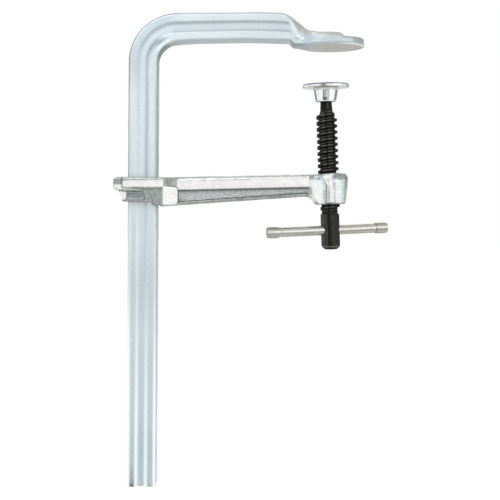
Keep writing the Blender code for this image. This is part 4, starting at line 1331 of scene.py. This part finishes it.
def plate_profile():
    """(radius, height) points from the socket's crown down, out and up to the face."""
    under, bevel = PLATE_UNDERSIDE, PLATE_EDGE_BEVEL
    edge = PLATE_RADIUS - bevel
    ring_reach = RING_GROOVE_RADIUS + RING_FIT + 2 * RING_WIRE_RADIUS
    ring_drop = BALL_FOOT_SHARE * BALL_RADIUS + RING_GROOVE_WIDTH / 2
    cavity = ring_reach + ring_drop * math.sin(PLATE_TILT_LIMIT) + SOCKET_CLEARANCE
    lip_top = HUB_FOOT + HUB_LIP
    round_top = HUB_FOOT + HUB_FOOT_ROUND
    out = arc((0, 0), PLATE_SOCKET, 0, 86, 9)[::-1]
    out += [(cavity, -SOCKET_CLEARANCE), (cavity, lip_top + 0.0001), (HUB_MOUTH, lip_top)]
    out += [(HUB_MOUTH, HUB_FOOT + 0.0002), (HUB_MOUTH + 0.0002, HUB_FOOT)]
    out += arc((HUB_FOOT_REACH - HUB_FOOT_ROUND, round_top), HUB_FOOT_ROUND, -90, 0, 7)
    wall_top = (HUB_TOP_REACH - 0.0001, under - 0.0006)
    out += straight((HUB_FOOT_REACH, round_top), wall_top, 30)[1:-1]
    out += [(HUB_TOP_REACH + 0.0001, under - 0.0003), (HUB_TOP_REACH + 0.0004, under)]
    out += straight((HUB_TOP_REACH + 0.0008, under), (edge - 0.0001, under), 12)[1:]
    out += arc((edge, under + bevel), bevel, -80, 0, 4)
    out += straight((PLATE_RADIUS, under + bevel), (PLATE_RADIUS, PLATE_FACE - bevel), 5)[1:-1]
    out += arc((edge, PLATE_FACE - bevel), bevel, 0, 85, 4)
    return out + straight((edge - 0.0002, PLATE_FACE), (0.0006, PLATE_FACE), 8)[1:-1]


def make_pressure_plate(material):
    mesh = skin("pressure_plate_skin", turned_rings(plate_profile(), PLATE_SIDES))
    points = coordinates(mesh)
    x, y, height = points.T
    angle, radius = np.arctan2(y, x), np.hypot(x, y)
    period = 2 * math.pi / HUB_FLUTES
    side_gap = ((angle - FIRST_FLUTE_AT + period / 2) % period - period / 2) * radius
    gap = np.abs(side_gap)
    on_wall = (radius > HUB_FOOT_REACH - HUB_FOOT_ROUND * 0.6) & (radius < HUB_TOP_REACH + 0.0005)
    on_wall &= height < PLATE_UNDERSIDE - 0.0001
    flute_foot = HUB_FOOT + FLUTE_FOOT_WALL
    flute_top = PLATE_UNDERSIDE - FLUTE_TOP_WALL
    fluted = on_wall * between(height, flute_foot, flute_top + 0.0004, 0.0005)
    cut = fluted * (1 - above(gap, HALF_FLUTE - 0.0006, 0.0007)) * FLUTE_DEPTH
    place(mesh, np.stack([x - np.cos(angle) * cut, y - np.sin(angle) * cut, height], axis=1))
    across = np.cos(angle)
    slanted = np.abs(across)
    # Painted shade and painted dark reflections as lines along the flutes' left and top edges, the
    # hub's root and foot, and the rim
    beside_flute = tent(gap, HALF_FLUTE - 0.0003, 0.0004) * (side_gap < 0) * (slanted < 0.8)
    beside_flute *= on_wall * between(height, flute_foot - 0.0003, flute_top + 0.0007, 0.0004)
    over_flute = on_wall * tent(height, flute_top + 0.0003, 0.0005) * (gap < HALF_FLUTE)
    root = tent(radius, HUB_TOP_REACH + 0.0003, 0.0006) * (height < PLATE_UNDERSIDE + 0.0003)
    root *= height > PLATE_UNDERSIDE - 0.0008
    edge = (radius > PLATE_RADIUS - 0.0014) & (height > PLATE_UNDERSIDE - 0.0001)
    rim = above(height, PLATE_FACE - 0.0012, 0.0005)
    rim = most(
        rim * (radius > PLATE_RADIUS - 0.8 * PLATE_EDGE_BEVEL),
        0.6 * edge * below(height, PLATE_UNDERSIDE + 0.0003, 0.0003),
    )
    foot = below(height, HUB_FOOT + 0.0009, 0.0006) * (radius > HUB_MOUTH + 0.0004)
    mark(mesh, "line", 0.7 * beside_flute + 0.5 * over_flute + 0.25 * root + rim + 0.95 * foot)
    # Painted shade in the flutes and on the hub's right and top, and painted dark reflections at
    # the hub's sides and, as wedges and ends, on the plate's side
    band = on_wall * above(height, flute_top + 0.0001, 0.0008)
    painted = fluted * (1 - above(gap, HALF_FLUTE + 0.0002, 0.0005))
    flute = np.interp(side_gap / HALF_FLUTE, FLUTE_PLACES, FLUTE_SHADES)
    flute += 0.42 * below(height, HUB_FOOT + 0.0045, 0.0015) * (side_gap < 0.0012)
    flute = below(slanted, 0.62, 0.1) * flute + 0.75 * above(across, 0.76, 0.05)
    left, right = above(-across, 0.945, 0.035), 0.8 * above(across, 0.92, 0.04)
    turn = np.degrees(angle)
    wedge = humps(turn, (1, -104, 7), (1, -31, 9), (1, 76, 7), (1, 149, 9))
    side = (radius > PLATE_RADIUS - 0.0010) * (1 - rim) * (height < PLATE_FACE - 0.0001)
    shade = painted * flute + 0.12 * on_wall * above(across, 0.4, 0.3) + 0.22 * band
    shade += 0.85 * on_wall * np.where(across < 0, left, right)
    shade += side * (0.14 + 0.72 * wedge + 0.65 * above(slanted, 0.95, 0.04))
    mark(mesh, "shade", shade)
    # Painted shade, warm grey, under the plate and round the hub's top
    below_plate = (height < PLATE_UNDERSIDE + 0.0002) & (radius > HUB_TOP_REACH + 0.0003)
    mark(mesh, "warm", 0.95 * below_plate + 0.35 * band)
    face = (height > PLATE_FACE - 0.0002) * below(radius, PLATE_RADIUS - 0.0004, 0.0006)
    mark(mesh, "face", face * (0.75 + 0.12 * np.sin(radius / 0.00042)))
    mesh.transform(plate_matrix())
    mesh.update()
    mesh.set_sharp_from_angle(angle=TURNED_SHARP)
    shown(mesh, "pressure_plate", material)


# Tommy bar and caps

TOMMY_SIDES = 64
TOMMY_ROWS = 80
TOMMY_END_CHAMFER = 0.0003
CAP_ROWS = 14
CAP_SWELL_POWER = 0.6


def finish_turned(node, profile, material):
    mesh = skin(node + "_skin", turned_rings(profile, TOMMY_SIDES))
    points = coordinates(mesh)
    x, y, along = points.T
    angle = np.arctan2(y, x)
    mark_flow(mesh, along, angle * TOMMY_RADIUS, np.zeros(len(points)))
    # Painted dark reflections along the bar's top and bottom, and a painted highlight along its
    # middle
    turn = np.abs(np.degrees(angle))
    edge = 0.38 * below(turn, 62, 25) + 0.6 * above(turn, 116, 30)
    edge += humps(turn, (0.7, 74, 8), (0.3, 119, 6))
    mark(mesh, "edge", edge * (0.85 + 0.15 * ripple(points, 41, 0.006)))
    mark(mesh, "core", (0.8 - 0.2 * above(along, 0.004, 0.006)) * hump(turn, 97, 9))
    mesh.transform(tommy_matrix() @ lift(TOMMY_REST_SHIFT))
    mesh.update()
    mesh.set_sharp_from_angle(angle=TURNED_SHARP)
    shown(mesh, node, material, "tommy")


def make_tommy(bar_material, cap_material):
    half = TOMMY_LENGTH / 2
    mouth = half - CAP_LENGTH
    bar_end = half - CAP_END_WALL - CAP_FIT
    bar_side = bar_end - TOMMY_END_CHAMFER
    profile = [(TOMMY_RADIUS - TOMMY_END_CHAMFER, -bar_end)]
    for z in np.linspace(-bar_side, bar_side, TOMMY_ROWS):
        profile.append((TOMMY_RADIUS + TOMMY_SWELL * below(abs(z), mouth - 0.0006, 0.0012), z))
    profile.append((TOMMY_RADIUS - TOMMY_END_CHAMFER, bar_end))
    finish_turned("tommy_bar", profile, bar_material)
    bore = TOMMY_RADIUS + CAP_FIT
    profile = [(bore, bar_end + CAP_FIT), (bore, mouth + 0.0001), (bore, mouth)]
    profile += [(CAP_RIM_RADIUS - 0.0001, mouth), (CAP_RIM_RADIUS, mouth + 0.0002)]
    for share in np.linspace(0, 1, CAP_ROWS)[1:-1]:
        swell = math.sin(math.pi * share) ** CAP_SWELL_POWER
        height = blend(mouth, half - CAP_END_BEVEL, share)
        profile.append((blend(CAP_RIM_RADIUS, CAP_RADIUS, swell), height))
    middle = (CAP_RIM_RADIUS - CAP_END_BEVEL, half - CAP_END_BEVEL)
    profile += arc(middle, CAP_END_BEVEL, 0, 90, 6)
    for node, side in (("tommy_cap_left", -1), ("tommy_cap_right", 1)):
        finish_turned(node, [(radius, side * height) for radius, height in profile], cap_material)


# Studio

# The floor lies below the arm's and the screw's lowest pose
FLOOR_DROP = 0.105
FLOOR_LIFT = 0.58
FLOOR_RADIUS = 4.0
FLOOR_GREY = (0.7, 0.7, 0.7, 1)
SKY_STRENGTH = 0.66
AIM = Vector((-0.07, 0, -0.13))
LAMPS = (
    ("key", (-0.55, -0.75, 0.75), 0.7, 4.5),
    ("fill", (0.75, -0.7, 0.1), 0.8, 1.2),
    ("back", (0.2, 0.9, 0.6), 0.8, 3.0),
)


def make_camera():
    data = bpy.data.cameras.new("camera")
    data.sensor_width = CAMERA_SENSOR
    data.lens = CAMERA_FOCAL * CAMERA_SENSOR
    data.shift_x, data.shift_y = CAMERA_SHIFT
    data.clip_start = 0.01
    camera = put("camera", data)
    turn = Matrix.Rotation(CAMERA_ROLL, 4, "Y") @ Matrix.Rotation(math.pi / 2, 4, "X")
    camera.matrix_world = Matrix.Translation((CAMERA_X, -CAMERA_BACK, CAMERA_Z)) @ turn
    bpy.context.scene.camera = camera


def ray_share(tree, names):
    """1 for rays of the named kinds, and 0 for the others."""
    path = tree.nodes.new("ShaderNodeLightPath")
    share = path.outputs[names[0]]
    for name in names[1:]:
        inputs = {0: share, 1: path.outputs[name]}
        share = add_node(tree, "ShaderNodeMath", inputs, operation="MAXIMUM")
    return share


def seen_white(tree, surface, kind, names):
    """Plain white to rays of the named kinds, and the given surface to the others."""
    white = add_node(tree, kind, {"Color": WHITE, "Strength": 1.0})
    return add_node(tree, "ShaderNodeMixShader", {0: ray_share(tree, names), 1: surface, 2: white})


def lifted(tree, surface):
    """The floor's own shade, shadow and all, raised to white for the camera."""
    inputs = {0: ray_share(tree, ("Is Camera Ray",)), 1: FLOOR_LIFT}
    rise = add_node(tree, "ShaderNodeMath", inputs, operation="MULTIPLY")
    glow = add_node(tree, "ShaderNodeEmission", {"Color": WHITE, "Strength": rise})
    return add_node(tree, "ShaderNodeAddShader", {0: surface, 1: glow})


def make_studio():
    world = bpy.data.worlds.new("studio")
    bpy.context.scene.world = world
    world.use_nodes = True
    tree = world.node_tree
    soft = tree.nodes["Background"]
    soft.inputs["Color"].default_value = WHITE
    soft.inputs["Strength"].default_value = SKY_STRENGTH
    names = ("Is Camera Ray", "Is Glossy Ray", "Is Transmission Ray")
    seen = seen_white(tree, soft.outputs[0], "ShaderNodeBackground", names)
    tree.links.new(seen, tree.nodes["World Output"].inputs["Surface"])
    spot = (0, 0, cad_low.z - FLOOR_DROP)
    round_floor = {"vertices": 96, "radius": FLOOR_RADIUS, "fill_type": "NGON"}
    bpy.ops.mesh.primitive_circle_add(location=spot, **round_floor)
    floor = bpy.context.object
    floor.name = "floor"
    material = bpy.data.materials.new("floor_white")
    material.use_nodes = True
    tree = material.node_tree
    shader = tree.nodes["Principled BSDF"]
    shader.inputs["Base Color"].default_value = FLOOR_GREY
    shader.inputs["Roughness"].default_value = 0.9
    seen = seen_white(tree, lifted(tree, shader.outputs[0]), "ShaderNodeEmission", names[1:])
    tree.links.new(seen, tree.nodes["Material Output"].inputs["Surface"])
    floor.data.materials.append(material)
    for name, spot, size, power in LAMPS:
        data = bpy.data.lights.new(name, "AREA")
        data.energy = power
        data.size = size
        lamp = put(name, data)
        lamp.location = spot
        lamp.rotation_euler = (AIM - Vector(spot)).to_track_quat("-Z", "Y").to_euler()


def main():
    make_camera()
    make_studio()
    make_fixed_bar(zinc_look())
    make_sliding_arm(forged_look())
    make_spindle(black_look())
    make_pressure_plate(plated_look())
    make_tommy(
        bright_look("bright_steel_bar", (210, 210, 203), (162, 163, 153)),
        bright_look("bright_steel_cap", (196, 196, 187), (156, 157, 147)),
    )
    wire = spring_look()
    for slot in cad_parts["snap_ring"].material_slots:
        slot.material = wire
    bpy.context.scene.view_settings.view_transform = "Standard"


main()
